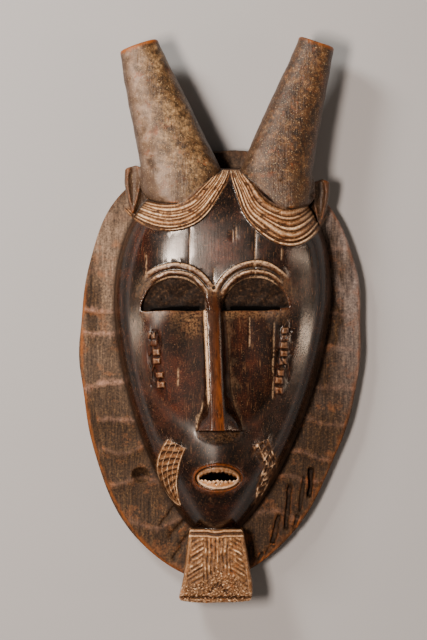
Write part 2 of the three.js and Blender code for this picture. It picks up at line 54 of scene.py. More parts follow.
# Driving sizes of the block, the same as the solid's.
HEAD_WIDTH = 163
HEAD_LENGTH = 282
HEAD_DEPTH = 46
BOARD_WIDTH = 212
BOARD_LENGTH = 324
BOARD_THICKNESS = 15
WALL = 14
HORN_LENGTH = 100
HORN_ROOT_WIDTH = 57
HORN_END_WIDTH = 29
HORN_ROOT_FRONT = 58
HORN_END_FRONT = 47
HORN_END_THICKNESS = 25
EAR_LENGTH = 37
EAR_WIDTH = 14
EAR_THICKNESS = 11
HAIR_STEP = 1.6
LOCK_RELIEF = 2.2
BROW_WIDTH = 4.2
BROW_RELIEF = 2.2
SOCKET_DEPTH = 8
EYE_SLIT = 2.4
NOSE_WIDTH = 19
NOSTRIL_WIDTH = 34.4
NOSE_HEIGHT = 16
MOUTH_WIDTH = 37
MOUTH_HEIGHT = 21.8
LIP_RELIEF = 3
MOUTH_LEDGE = 3
TOOTH_WIDTH = 2.5
SCAR_RELIEF = 1.5
SCAR_WIDTH = 14
BEARD_LENGTH = 54
BEARD_THICKNESS = 24
BEARD_RELIEF = 1.3
KNOT_WIDTH = 14
KNOT_DEPTH = 9

SCAR_ROWS = 10
SCAR_COLUMNS = 4
STROKE_PITCH = 3.7

# The carving is laid out in hundredths of the head's width and length.
W = HEAD_WIDTH / 100
L = HEAD_LENGTH / 100
LEAN = 0.032
FACE_AXIS = -3.1 * W
EYE_LINE = -3.07 * L
EYES = (-21.6 * W, 15 * W)
EYE_HALF_WIDTH = 14.9 * W
EYE_HEIGHT = 9.2 * L
SOCKET_HEIGHT = 8.5 * L
MOUTH = (-1.9 * W, -47 * L)
KNOT = (-36.8 * W, -47.2 * L)

# crown and chin: how full the corners are, left and right. 2 is an ellipse.
HEAD = dict(half=HEAD_WIDTH / 2, up=34.9 * L, down=65.1 * L, drop=0, crown=(2.3, 2.3), chin=(1.55, 1.57))
BOARD = dict(
    half=BOARD_WIDTH / 2,
    up=0.438 * BOARD_LENGTH,
    down=0.562 * BOARD_LENGTH,
    drop=10.6 * L,
    crown=(2.45, 2.15),
    chin=(1.96, 1.84),
)
HOLLOW = dict(
    half=HEAD["half"] - WALL,
    up=HEAD["up"] - WALL,
    down=HEAD["down"] - 2 * WALL,
    drop=0,
    crown=(2.3, 2.3),
    chin=(1.7, 1.7),
)
SIDE_ROUNDING = 4
CROWN_ROUNDING = 6
FOREHEAD = dict(x=0.6 * W, y=16.7 * L, wide=27.6 * W, high=11.3 * L, rise=HEAD_DEPTH / 10)
MUZZLE = dict(x=-1.6 * W, y=-45 * L, wide=16 * W, high=9.2 * L, rise=HEAD_DEPTH / 4)

# The grid's corners and cells in mm, and the most triangles that the finished piece keeps.
GRID_LOW = (-111.0, -231.0, -3.0)
GRID_HIGH = (108.0, 200.0, 84.0)
CELL = (0.55, 0.55, 0.9)
TRIANGLES = 197000
# How much the thinning minds long edges, set against its error, and how many points it may not touch.
KEEP_EVEN = 5e-7
KEEP_WHOLE = 54000
# How freely each part may be thinned, out of 20.
ON_FACE = 1
ON_BOARD = 15
BEHIND = 20


def mix(a, b, t):
    return a + (b - a) * t


def clamp01(t):
    return np.clip(t, 0, 1)


def ease(t):
    t = clamp01(t)
    return t * t * (3 - 2 * t)


def inside(distance, soft=0.8):
    """1 where the distance is well below nought, 0 well above, with a soft edge in mm."""
    return ease(0.5 - distance / soft)


def ridge(distance, half_width):
    """A rounded ridge across a line: 1 on the line and 0 beyond its half width."""
    return clamp01(1 - (distance / half_width) ** 2)


def between(value, low, high, soft):
    """1 between two values and 0 beyond them, with soft ends."""
    return ease((value - low) / soft) * ease((high - value) / soft)


def spot(x, y, at, size):
    """A soft round spot: 1 in its middle, fading over its width and its height."""
    return np.exp(-(((x - at[0]) / size[0]) ** 2) - ((y - at[1]) / size[1]) ** 2)


def squared_round(u, v, n):
    """How far a point is from the middle of a rounded box, as a share. An n of 2 makes an ellipse."""
    return (np.abs(u) ** n + np.abs(v) ** n) ** (1 / n)


def soft_max(a, b, k):
    h = clamp01(0.5 + 0.5 * (a - b) / k)
    return mix(b, a, h) + k * h * (1 - h)


def soft_min(a, b, k):
    return -soft_max(-a, -b, k)


def along(values, t):
    """Evenly spaced values joined by a smooth curve through them, read at a share of the way."""
    knots = np.asarray(values, float)
    place = clamp01(t) * (len(knots) - 1)
    i = np.minimum(place.astype(int), len(knots) - 2)
    s = place - i
    p1, p2 = knots[i], knots[i + 1]
    p0 = np.where(i > 0, knots[np.maximum(i - 1, 0)], 2 * p1 - p2)
    p3 = np.where(i + 2 < len(knots), knots[np.minimum(i + 2, len(knots) - 1)], 2 * p2 - p1)
    slope1, slope2 = (p2 - p0) / 2, (p3 - p1) / 2
    cubic = 2 * p1 - 2 * p2 + slope1 + slope2
    square = -3 * p1 + 3 * p2 - 2 * slope1 - slope2
    return ((cubic * s + square) * s + slope1) * s + p1


def wander(x, y, size, phase):
    """A slow unevenness between -1 and 1, as a hand and a blade leave it."""
    a = np.sin(x / size + 1.7 * np.sin(y / size * 0.83 + phase) + phase)
    b = np.sin(y / size * 1.13 + 1.3 * np.sin(x / size * 0.71 + 2 * phase))
    return (a + b) / 2


def rough(x, y, size, phase):
    """A quick crumbly unevenness: three sizes of wander added up."""
    return sum(wander(x, y, size / 1.9**n, phase + 2.1 * n) * 0.62**n for n in range(3))


def scoops(x, y, wide, high, phase):
    """Shallow gouge cuts side by side: 0 in the bed of each cut and 1 on the arrises between."""
    across = x / wide + 0.3 * wander(x, y, 3 * wide, phase)
    row = np.floor(across)
    on = y / high + 0.37 * row * (1 + 0.3 * np.sin(3.1 * row + phase)) + 0.2 * wander(y, x, 2 * high, phase)
    u, v = across - row - 0.5, on - np.floor(on) - 0.5
    return clamp01(4 * np.maximum(u * u, v * v))


def lean_at(y):
    return LEAN * y


def egg_share(egg, x, y):
    """How far a point is from an egg's middle, as a share of the way to its edge."""
    v = y + egg["drop"]
    u = x - lean_at(y)
    reach = np.where(v > 0, egg["up"], egg["down"])
    n = np.where(v > 0, np.where(u > 0, *egg["crown"][::-1]), np.where(u > 0, *egg["chin"][::-1]))
    return squared_round(u / egg["half"], v / reach, n)


def egg_distance(egg, x, y):
    """The distance in mm from an egg's edge, negative inside it."""
    step = 0.5
    rise_x = egg_share(egg, x + step, y) - egg_share(egg, x - step, y)
    rise_y = egg_share(egg, x, y + step) - egg_share(egg, x, y - step)
    return (egg_share(egg, x, y) - 1) * 2 * step / np.maximum(np.hypot(rise_x, rise_y), 1e-3)


def ellipse_distance(dx, dy, a, b):
    q = np.sqrt((dx / a) ** 2 + (dy / b) ** 2) + 1e-6
    return (q - 1) * q / np.sqrt((dx / a**2) ** 2 + (dy / b**2) ** 2 + 1e-9)


def swell(bulge, x, y):
    u = (x - bulge["x"]) / bulge["wide"]
    v = (y - bulge["y"]) / bulge["high"]
    return bulge["rise"] * np.exp(-(u * u + v * v) / 2)


def skin(x, y):
    """Height of the head over (x, y), before anything is carved into it."""
    r = egg_share(HEAD, x, y)
    within = np.minimum(r, 1)
    upward = np.maximum(0, y / HEAD["up"] / np.maximum(r, 1e-3))
    dome = np.sqrt(1 - within ** (SIDE_ROUNDING + CROWN_ROUNDING * np.minimum(upward, 1) ** 2))
    swells = (1 - within**4) * (swell(FOREHEAD, x, y) + swell(MUZZLE, x, y))
    return BOARD_THICKNESS + HEAD_DEPTH * dome + swells


# The two sweeps of hair, fanned about a point between each horn and the crown.
HAIR = (
    dict(
        side=-1,
        x=-21.5 * W,
        end=0.79,
        locks=(0, 0.11, 0.28, 0.38, 0.53, 0.62, 0.78, 0.9, 1),
        rubbed=(0.45, 0.9, 0.5, 1, 0.7, 1, 0.85, 1),
        inner=(19, 15.3, 16, 17.6, 20.9),
        outer=(25.4, 24.2, 27.6, 29.5, 29.8),
    ),
    dict(
        side=1,
        x=25.2 * W,
        end=0.76,
        locks=(0, 0.2, 0.31, 0.48, 0.58, 0.74, 0.88, 1),
        rubbed=(0.5, 0.75, 0.55, 0.95, 0.7, 1, 1),
        inner=(16.6, 13.8, 16, 19.6, 20.6),
        outer=(21.5, 22.6, 29.5, 36.6, 31.5),
    ),
)
HAIR_LINE = 34.4 * L
CROWN_TOP = 34.2 * L


def hair_place(sweep, x, y):
    """Where a point lies on a sweep: the share of its length, and the share across its locks."""
    dx = -sweep["side"] * (x - sweep["x"])
    dy = HAIR_LINE - y
    t = np.arctan2(np.maximum(dy, 0), dx) / (sweep["end"] * math.pi)
    radius = np.where(dy > 0, np.hypot(dx, dy), dx)
    inner, outer = along(sweep["inner"], t) * W, along(sweep["outer"], t) * W
    return t, (radius - inner) / (outer - inner), outer - inner


def hair_mask(x, y):
    """1 on the hair, 0 off it."""
    found = 0
    for sweep in HAIR:
        t, f, width = hair_place(sweep, x, y)
        here = inside((f - 1) * width) * inside((-0.06 - f) * width) * inside((t - 1) * 60, 3)
        found = np.maximum(found, here)
    return found * inside(y - CROWN_TOP, 2)


def hair_rubbed(x, y):
    """How far each lock of hair is rubbed pale."""
    found = 0
    for sweep in HAIR:
        t, f, _ = hair_place(sweep, x, y)
        lock = np.interp(f, sweep["locks"], range(len(sweep["locks"]))).astype(int)
        share = np.array(sweep["rubbed"])[np.minimum(lock, len(sweep["rubbed"]) - 1)]
        found = np.where((t < 1) & (f < 1), share, found)
    return found


def hair_relief(x, y):
    """Rounded locks with a sharp groove between them, and a thin outermost line set a little apart."""
    relief = 0
    for sweep in HAIR:
        t, f, width = hair_place(sweep, x, y)
        loose = inside(np.abs(f - 0.5) - 0.36, 0.3)
        f = f + loose * (0.035 * wander(x, y, 8, 2 + sweep["side"]) + 0.022 * np.sin(9 * f + 5 * t))
        here = inside((f - 1) * width, 0.9) * inside((-0.12 - f) * width, 1.5) * inside((t - 1) * 60, 4)
        here = here * inside(y - CROWN_TOP, 2)
        lock = np.interp(f, sweep["locks"], range(len(sweep["locks"])))
        across = 2 * (lock - np.floor(lock)) - 1
        turn = np.floor(lock)
        broken = ease(rough(0.5 * x, y, 1.8, turn.max()) * 2 - 0.9)
        worn = 0.85 + 0.3 * np.sin(9 * t + 2.3 * turn) - 0.45 * broken
        crown = (1 - np.abs(across) ** 1.2) ** 1.2
        thin = ease((np.abs(f - sweep["locks"][-2]) - 0.02) / 0.06)
        height = HAIR_STEP + LOCK_RELIEF * (crown * worn - 0.45) - 0.7 * (1 - thin)
        relief = np.where(here > 0.01, here * height, relief)
    return relief


HORNS = (
    dict(side=-1, foot=(-20.9 * W, 24.8 * L), root=(-18.7 * W, 34 * L), length=0.985, width=1, tilt=0.325),
    dict(side=1, foot=(28.8 * W, 23.4 * L), root=(24.2 * W, 33 * L), length=1.03, width=0.92, tilt=0.3),
)
# How much wider a horn is behind, and the share of it that the board backs.
HORN_BACK_SPREAD = 0.05
HORN_HELD = 0.19
HORN_SQUARENESS = 2.6
HORN_FOOT_FULLNESS = 2.7


def horn_ends(horn):
    """A horn's foot on the crown, the root and the end of its shaft, and the way that it points."""
    reach = HORN_LENGTH * horn["length"]
    way = np.array([horn["side"] * math.sin(horn["tilt"]), math.cos(horn["tilt"])])
    foot, root = np.array(horn["foot"]), np.array(horn["root"])
    return foot, root, root + way * reach, way


def horn_field(horn, x, y, z):
    """A horn: a rounded foot on the crown, then a tapering shaft with a flat cut end."""
    foot, root, end, way = horn_ends(horn)
    in_foot = clamp01((y - foot[1]) / (root[1] - foot[1]))
    in_shaft = (y - root[1]) / (end[1] - root[1])
    t = clamp01(in_shaft)
    middle = np.where(y < root[1], mix(foot[0], root[0], in_foot), mix(root[0], end[0], in_shaft))
    half_root = HORN_ROOT_WIDTH * horn["width"] / 2 / way[1]
    half_end = HORN_END_WIDTH * horn["width"] / 2 / way[1]
    rounded = np.maximum(1 - (1 - in_foot) ** HORN_FOOT_FULLNESS, 1e-5) ** (1 / HORN_FOOT_FULLNESS)
    half = np.where(y < root[1], half_root * rounded, mix(half_root, half_end, t))
    on_head = skin(*foot) + HAIR_STEP
    shaft_front = mix(HORN_ROOT_FRONT, HORN_END_FRONT, t)
    front = np.where(y < root[1], mix(on_head, HORN_ROOT_FRONT, in_foot), shaft_front)
    low = BOARD_THICKNESS - 3
    back = mix(low, HORN_END_FRONT - HORN_END_THICKNESS, clamp01((t - HORN_HELD) / (1 - HORN_HELD)))
    v = (z - (front + back) / 2) / ((front - back) / 2)
    u = (x - middle) / half / (1 - HORN_BACK_SPREAD * v)
    q = squared_round(u, v, HORN_SQUARENESS)
    uneven = 0.45 * wander(x + 0.4 * z, y, 15, 3 * horn["side"]) + 0.16 * rough(x + z, y - z, 3.5, 4)
    sides = (q - 1) * np.minimum(half, (front - back) / 2) + uneven
    past_end = (x - end[0]) * way[0] + (y - end[1]) * way[1] + 0.5 * wander(x, z, 9, 1)
    inner_side = -horn["side"] * (x - middle)
    bevel = 0.8 * (inner_side - 0.78 * half) + 0.6 * (z - front + 1)
    sides = soft_max(sides, bevel + uneven, 1.2)
    field = soft_max(sides, past_end, 1.6)
    field = soft_max(field, foot[1] - y, 2)
    if horn["side"] > 0:
        field = np.maximum(field, -horn_chip(x, y, z, root, end))
    return field


def horn_chip(x, y, z, root, end):
    """The splinter lost from the right horn's outer edge, near its end."""
    t = (y - root[1]) / (end[1] - root[1])
    edge = mix(root[0], end[0], t) + mix(HORN_ROOT_WIDTH, HORN_END_WIDTH, t) * 0.46
    bite = np.interp(t, [0.55, 0.68, 0.9, 1.05], [2, -2.6, -3.8, -2.2]) + 0.7 * rough(x, y, 4, 7)
    floor = HORN_END_FRONT - 3.5 - 0.7 * (x - edge) + 0.9 * rough(x, y, 2.6, 3)
    return np.maximum(edge + bite - x, floor - z)


EARS = (
    dict(side=-1, low=(-41 * W, 22.6 * L), high=(-40.6 * W, 35.5 * L)),
    dict(side=1, low=(44.6 * W, 18.9 * L), high=(45.2 * W, 31.8 * L)),
)
EAR_SQUARENESS = 2.2


def ear_field(ear, x, y, z):
    """A small leaf, pointed below, with a cupped front and a thick root towards the head."""
    t = (y - ear["low"][1]) / EAR_LENGTH
    middle = mix(ear["low"][0], ear["high"][0], t)
    half = EAR_WIDTH / 2 * along((0.16, 0.56, 0.86, 1, 0.9), t)
    centre = BOARD_THICKNESS + EAR_THICKNESS - 3 * (1 - t)
    thick = EAR_THICKNESS / 2 * along((0.9, 1, 1, 0.95, 0.7), t)
    u, v = (x - middle) / half, (z - centre) / thick
    leaf = (squared_round(u, v, EAR_SQUARENESS) - 1) * np.minimum(half, thick)
    inward = -ear["side"] * (x - middle)
    root_half = 6.5 * along((0.5, 0.9, 1, 1, 0.9), t)
    root = np.maximum(np.abs(inward - 5) - root_half, z - centre - 2 + 0.2 * inward)
    root = np.maximum(np.maximum(root, BOARD_THICKNESS / 2 - z), y - ear["high"][1] + 7)
    leaf = soft_min(leaf, root, 1.5)
    hollow_u = (x - middle) / (0.62 * half)
    cup = (np.sqrt(hollow_u**2 + ((z - centre - thick) / 4) ** 2 + ((t - 0.6) / 0.42) ** 2) - 1) * 3
    leaf = soft_max(leaf, -cup, 1)
    top = y - ear["high"][1] + 0.28 * np.abs(x - middle - 1.2) * 1.2
    leaf = soft_max(leaf, top, 1.6)
    return soft_max(leaf, ear["low"][1] - y, 1.5) + 0.12 * rough(x, y + z, 3, 3)


def eye_place(x, y, eye):
    """Distance from an eye's arch, and the angle round it."""
    dx, dy = x - eye, y - EYE_LINE
    angle = np.arctan2(dy / EYE_HEIGHT, dx / EYE_HALF_WIDTH)
    return ellipse_distance(dx, dy, EYE_HALF_WIDTH, EYE_HEIGHT), angle


# Each eye's middle, where its brow starts and stops as shares of half a turn, and its lift in mm.
BROWS = ((EYES[0], 0.13, 0.76, 0), (EYES[1], 0.22, 0.89, 1.6))
BROW_LINES = ((0.5, 0.42), (1.72, 0.55))


def brow_lines(x, y, lines, edge):
    """Each line over each eye: its place, its half width, how far a point is from it, and its taper."""
    for eye, start, stop, larger in BROWS:
        out, angle = eye_place(x, y, eye)
        angle = angle / math.pi
        taper = between(angle, start, stop, 0.1)
        lift = larger * np.sin(np.pi * clamp01((angle - start) / (stop - start)))
        for n, wide in lines:
            line = (n + edge * wide) * BROW_WIDTH + lift * n / 1.7 + 0.35 * wander(x, y, 5, n)
            yield n, wide, out - line, taper


def brow_relief(x, y):
    """Two raised lines over each eye, thinning out at their ends."""
    relief = 0
    for n, wide, away, taper in brow_lines(x, y, BROW_LINES, 0):
        band = clamp01(1.6 * ridge(away, BROW_WIDTH * wide))
        relief = np.maximum(relief, taper * BROW_RELIEF * band * (0.85 + 0.25 * wander(x, y, 3, 2 * n)))
    return relief


def brow_line(x, y):
    """1 on the rubbed upper edge of each brow line, and on the arch of the eye."""
    found = 0
    for n, _, away, taper in brow_lines(x, y, ((-0.28, 0), *BROW_LINES), 0.5):
        found = np.maximum(found, (1 if n > 1 else 0.75) * taper * ridge(away, 0.85))
    return found


def dust_mask(x, y):
    """Pale dust that has settled over and under the eyes and beside the nose."""
    found = 0
    for eye in EYES:
        out, angle = eye_place(x, y, eye)
        over = inside(np.abs(out - 4.5) - 4, 3) * inside(np.abs(angle - math.pi / 2) - 0.4 * math.pi, 0.3)
        under = np.exp(-(((y - EYE_LINE + 2.5) / 2.6) ** 2)) * inside(np.abs(x - eye) - EYE_HALF_WIDTH, 6)
        found = np.maximum(found, np.maximum(0.45 * over, 0.8 * under))
    return np.maximum(found, spot(x, y, (-22, -18), (9, 9)))


def socket_mask(x, y, soft=0.9):
    """1 inside the half-moon sockets."""
    found = 0
    for eye in EYES:
        dx = x - eye
        low = EYE_LINE + (0.15 * np.maximum(dx - 8, 0) if eye > 0 else 0.25 * np.cos(dx / 5))
        out = ellipse_distance(dx, y - EYE_LINE, EYE_HALF_WIDTH * 1.02, SOCKET_HEIGHT)
        low = low + 0.45 * wander(x, y, 4.5, 3)
        out = out + 0.35 * wander(x, y, 4, eye)
        found = np.maximum(found, inside(out, soft) * inside(low - y, soft))
    return found


def socket_depth(x, y):
    fall = mix(SOCKET_DEPTH, 0.12 * SOCKET_DEPTH, clamp01((y - EYE_LINE) / EYE_HEIGHT))
    return socket_mask(x, y) * (fall + 0.7 * rough(x, y, 4, 1))


# Down the nose: place in hundredths of the head, width, width of its flat ridge, height and flare.
NOSE_Y = np.array([-34.5, -32.2, -29, -25, -18, -10, -3.6, -0.5, 3.2])
NOSE_WIDE = np.array([1, 1, 1, 1, 1, 0.95, 0.86, 0.6, 0.42])
NOSE_RIDGE = np.array([0.5, 0.47, 0.42, 0.41, 0.42, 0.44, 0.44, 0.4, 0.24])
NOSE_HIGH = np.array([1, 1, 0.95, 0.9, 0.8, 0.7, 0.56, 0.34, 0.08])
NOSE_FLARE = np.array([1, 0.85, 0.4, 0.08, 0, 0, 0, 0, 0])
NOSE_SHIFT = -0.9 * W
NOSE_SHOULDER = 2.2


def nose_lines(y):
    """The nose's middle, and the half widths of its ridge, its flank and its foot."""
    share = y / L
    down = clamp01((2.5 - share) / 37)
    middle = FACE_AXIS + mix(-0.8, 1.9, down) * W
    flare = np.interp(share, NOSE_Y, NOSE_FLARE)
    half = mix(NOSE_WIDTH * np.interp(share, NOSE_Y, NOSE_WIDE) / 2, NOSTRIL_WIDTH / 2, flare)
    flat = NOSE_WIDTH * np.interp(share, NOSE_Y, NOSE_RIDGE) / 2
    flank = mix(flat + 0.3 * (half - flat), 0.86 * half, flare)
    return middle, flat, flank, half, mix(0.4, 0.56, flare)


def nose_relief(x, y):
    middle, flat, flank, half, flank_high = nose_lines(y)
    dx = x - middle
    side = np.where(dx > 0, 1, -1)
    reach = np.abs(dx)
    height = NOSE_HEIGHT * np.interp(y / L, NOSE_Y, NOSE_HIGH) - 0.13 * np.clip(dx + 5.5, 0, 12)
    top_edge = flat + side * NOSE_SHIFT
    shoulder = top_edge + NOSE_SHOULDER
    shoulder_high = 1 - 0.85 * NOSE_SHOULDER / np.maximum(height, 4)
    flank_edge = np.maximum(flank + side * NOSE_SHIFT / 2, shoulder + 0.6)
    rounding = mix(1, shoulder_high, clamp01((reach - top_edge) / NOSE_SHOULDER) ** 1.5)
    upper = mix(shoulder_high, flank_high, clamp01((reach - shoulder) / (flank_edge - shoulder)))
    lower = mix(flank_high, 0, clamp01((reach - flank_edge) / np.maximum(half - flank_edge, 1)))
    profile = np.where(reach < shoulder, rounding, np.where(reach < flank_edge, upper, lower))
    end = inside(NOSE_Y[0] * L - y + 0.3 * wander(x, y, 3, 1), 0.7) * inside(y - NOSE_Y[-1] * L, 3)
    return height * profile * end


def nose_end_gouge(x, y):
    """The eroded crescent just under the nose."""
    middle = FACE_AXIS + 1.9 * W
    out = ellipse_distance(x - middle, y - NOSE_Y[0] * L + 0.5, 17, 9)
    return inside(out, 4) * inside(y - NOSE_Y[0] * L, 1) * (1 + 0.3 * rough(x, y, 2.4, 2))


def mouth_distance(x, y):
    return ellipse_distance(x - MOUTH[0], y - MOUTH[1], MOUTH_WIDTH / 2, MOUTH_HEIGHT / 2)


# The gap between the teeth: how far above the mouth's middle, and its half width and height.
GAP_LIFT = 1.5
GAP_HALF = (14.2, 3.1)


def mouth_height(x, y, plain):
    """The thin raised lip, and inside it a ledge with an upper and a lower row of teeth."""
    out = mouth_distance(x, y)
    z = plain + LIP_RELIEF * ridge(out + 0.8, 1.2)
    ledge = inside(out + 1.5, 0.8)
    dx, dy = x - MOUTH[0], y - MOUTH[1] - GAP_LIFT
    tooth = np.abs((dx / TOOTH_WIDTH / 1.2 + 100.5) % 1 - 0.5) * 2
    row = inside(ellipse_distance(dx, dy + 0.4, GAP_HALF[0] + 1.2, GAP_HALF[1] + 2.4), 0.9)
    notch = np.where(dy < 0, 1.1, 0.5)
    teeth = 1.5 - row * (1 - ease((0.92 - tooth) / 0.3)) * notch
    sunk = 0.9 * ridge(out + 2.3, 0.7)
    floor = plain - MOUTH_LEDGE + teeth - sunk + 0.25 * rough(x, y, 2, 4)
    return mix(z, floor, ledge)


# How far the holes run towards the chin for each mm that they go in.
HOLE_SLANT = 0.45


def holes(x, y, z):
    """Negative where the block is cut right through: the eye slits and the gap between the teeth.
    They slant down towards the chin as they go in."""
    across = np.minimum(np.abs(x - EYES[0]), np.abs(x - EYES[1])) - 0.75 * EYE_HALF_WIDTH
    sunk = skin(0, EYE_LINE) - SOCKET_DEPTH
    slit = np.abs(y + HOLE_SLANT * np.maximum(sunk - z, 0) - EYE_LINE - EYE_SLIT / 2 - 0.3) - EYE_SLIT / 2
    slit = np.maximum(across, slit)
    y = y + HOLE_SLANT * np.maximum(skin(*MOUTH) - MOUTH_LEDGE - z, 0)
    half_height = GAP_HALF[1] + 0.25 * np.sin(2.1 * x) + 0.3 * np.sin(0.7 * x + 1)
    gap = ellipse_distance(x - MOUTH[0], y - MOUTH[1] - GAP_LIFT, GAP_HALF[0], half_height)
    return np.minimum(slit, gap)


# The scar patches on the jaw: the middle line, the width along it and how far the studs are worn.
PATCHES = (
    dict(
        line=((-20.8, -38), (-23.8, -41.7), (-25, -45.1), (-24.6, -48.7), (-22, -52.6), (-19.1, -54.8)),
        width=(1.07, 1.18, 1.17, 0.94, 0.51, 0.08),
        columns=SCAR_COLUMNS,
        worn=0,
    ),
    dict(
        line=((17.2, -37.6), (19.7, -41.1), (22.1, -44.1), (19.7, -47.5), (17.4, -51), (15.6, -54.6)),
        width=(0.91, 0.84, 0.71, 0.59, 0.43, 0.07),
        columns=SCAR_COLUMNS - 1,
        worn=1,
    ),
)


def patch_place(patch, x, y):
    """Where a point lies on a patch: the share of its length, and across from -1 to 1."""
    steps = 61
    share = np.linspace(0, 1, steps)
    px = along([p[0] * W for p in patch["line"]], share)
    py = along([p[1] * L for p in patch["line"]], share)
    best, t, across = np.full(np.shape(x), np.inf), np.zeros(np.shape(x)), np.zeros(np.shape(x))
    for i in range(steps - 1):
        way = np.array([px[i + 1] - px[i], py[i + 1] - py[i]])
        long = np.hypot(*way)
        way = way / long
        on = clamp01(((x - px[i]) * way[0] + (y - py[i]) * way[1]) / long)
        dx, dy = x - px[i] - on * way[0] * long, y - py[i] - on * way[1] * long
        away = np.hypot(dx, dy)
        nearer = away < best
        best = np.where(nearer, away, best)
        t = np.where(nearer, share[i] + on / (steps - 1), t)
        across = np.where(nearer, dx * -way[1] + dy * way[0], across)
    half = SCAR_WIDTH / 2 * along(patch["width"], t)
    return t, across / half, best, half


def scar_relief(x, y):
    """A lattice of pyramid studs inside a raised border, weathered away in part on the right."""
    relief = np.zeros(np.shape(x))
    for patch in PATCHES:
        t, f, away, half = patch_place(patch, x, y)
        end = np.minimum(t, 1 - t)
        here = inside(away - half, 0.8) * ease(end / 0.012)
        column = (f + 1) / 2 * patch["columns"] + 0.1 * wander(x, y, 4, 3)
        side = np.abs(column % 1 - 0.5) * 2
        row = (t * SCAR_ROWS + 0.45 * (column % 1) + 0.37 * np.floor(column) + 0.12 * wander(x, y, 3, 8)) % 1
        wedge = clamp01(1.2 * row) * clamp01((1 - row) * 5)
        stud = np.maximum(wedge, 0.99 * ease((side - 0.7) / 0.24))
        border = ridge(away - half + 0.5, 1)
        kept = 1 - patch["worn"] * clamp01(0.15 + 0.9 * wander(x, y, 3.5, 1.5)) - 0.1 * rough(x, y, 3, 5)
        height = (1.5 * SCAR_RELIEF * np.maximum(stud, 1.05 * border) - 0.9) * kept
        pitted = patch["worn"] * (0.9 * rough(x, 0.6 * y, 1.6, 6) - 0.4)
        relief = relief + here * (height + pitted)
    return relief


def scar_mask(x, y):
    found = 0
    for patch in PATCHES:
        t, _, away, half = patch_place(patch, x, y)
        found = np.maximum(found, inside(away - half - 0.3, 1) * ease(np.minimum(t, 1 - t) / 0.01))
    return found


# Two columns of small stud scars below the eyes: across and along in mm, and how much is left.
STUDS = (
    (-52.2, -27.3, 0.5),
    (-51, -32.8, 0.35),
    (-48.8, -39.6, 0.9),
    (-48.6, -46, 1),
    (-46.4, -56.4, 1),
    (-45.3, -63.6, 1),
    (46.6, -23.6, 0.8),
    (46.2, -29, 0.4),
    (45.7, -34.4, 0.8),
    (45.6, -40.6, 0.9),
    (45.1, -46.4, 0.6),
    (43, -55, 0.7),
    (42, -60.4, 1),
    (42, -68, 0.7),
)
STUD_WIDE = 6
STUD_HIGH = 4.8


def stud_relief(x, y):
    """Blunt raised studs, with splinters lost from between and beside them."""
    relief = 0
    for u, v, left in STUDS:
        dx, dy = x - u + 0.3 * wander(x, y, 1.7, u), y - v + 0.3 * wander(y, x, 1.9, v)
        square = np.maximum(np.abs(dx) / STUD_WIDE, np.abs(dy) / STUD_HIGH) * 2
        relief = relief + left * 2.1 * ease((1.1 - square) / 0.5)
    for side, at, low, high in ((-1, -49.5, -70, -22), (1, 45, -72, -19)):
        column = inside(np.abs(x - at - 0.09 * side * (y + 45)) - 5, 3) * between(y, low, high, 4)
        splinter = ease((rough(x, 0.32 * y, 1.7, 2 + side) - 0.25) / 0.5)
        relief = relief - 1.1 * column * splinter
    return relief


# Long cracks in the grain: across, lower end and upper end in mm, and width.
CRACKS = (
    (-24.4, 14, 57, 0.5),
    (23.8, 12, 66, 0.55),
    (43.6, 27, 39, 0.4),
    (-6.4, 10, 24, 0.45),
    (7.5, 40, 52, 0.35),
    (10, 42, 54, 0.35),
    (19.8, -38, -12, 0.4),
    (37, -76, -16, 0.42),
    (-33, -66, -50, 0.4),
    (-56.3, 14, 34, 0.4),
)


def crack_mask(x, y, wider=1):
    found = 0
    for at, low, high, wide in CRACKS:
        path = at + 0.25 * wander(y, y, 7, at) + 0.02 * (y - low)
        found = np.maximum(found, between(y, low, high, 4) * ridge(x - path, wide * wider))
    return found


# Grooves in the board: middle across and along, width, length, depth and turn.
GOUGES = (
    (40.6, -49, 4.4, 24, 5, -0.1),
    (30.4, -55.5, 4, 38, 3, -0.08),
    (24.7, -61.4, 4, 25, 2.6, -0.3),
    (-14, -62.5, 5.5, 30, 1.3, -0.75),
    (-18.5, -60, 5, 34, 1.2, -0.75),
    (-24, -57.5, 5, 28, 1.1, -0.7),
    (-19, -67, 4.5, 22, 1.1, -0.65),
    (17, -70, 4, 16, 1.4, -0.5),
    (21, -68, 3.5, 18, 1.2, -0.55),
    (33.5, -61, 3.5, 22, 1.8, -0.2),
    (37, -52, 3, 30, 1.5, -0.12),
)


def gouge_depth(x, y):
    depth = 0
    for u, v, wide, high, deep, turn in GOUGES:
        dx, dy = x - u * W, y - v * L
        across = dx * math.cos(turn) + dy * math.sin(turn) + 0.6 * rough(x, 0.4 * y, 3, u)
        on = dy * math.cos(turn) - dx * math.sin(turn)
        cut = ease((1 - (across / (wide / 2)) ** 2) * 1.2) * ease((1 - np.abs(on) / (high / 2)) * 4)
        depth = np.maximum(depth, deep * cut)
    return depth


def knot_depth(x, y):
    """A knot hole: steep above, running out in a shallow slope below."""
    dx, dy = x - KNOT[0] + 1, y - KNOT[1]
    out = np.hypot(dx, dy * 1.08) - KNOT_WIDTH / 2 + 0.5 * wander(x, y, 4, 2)
    deep = KNOT_DEPTH * clamp01(-out / (KNOT_WIDTH / 2) * 1.1 + 0.35 * dy / KNOT_WIDTH)
    return inside(out, 1) * deep


# The arrises between the adze cuts across the board, in mm up from the middle, left and right.
ARRISES = (
    (-240, -200, -164, -131, -106, -82, -55, -17, -0.4, 30, 68, 110, 150),
    (-240, -195, -158, -130, -112, -84, -58, -30, -2, 16, 46, 90, 150),
)


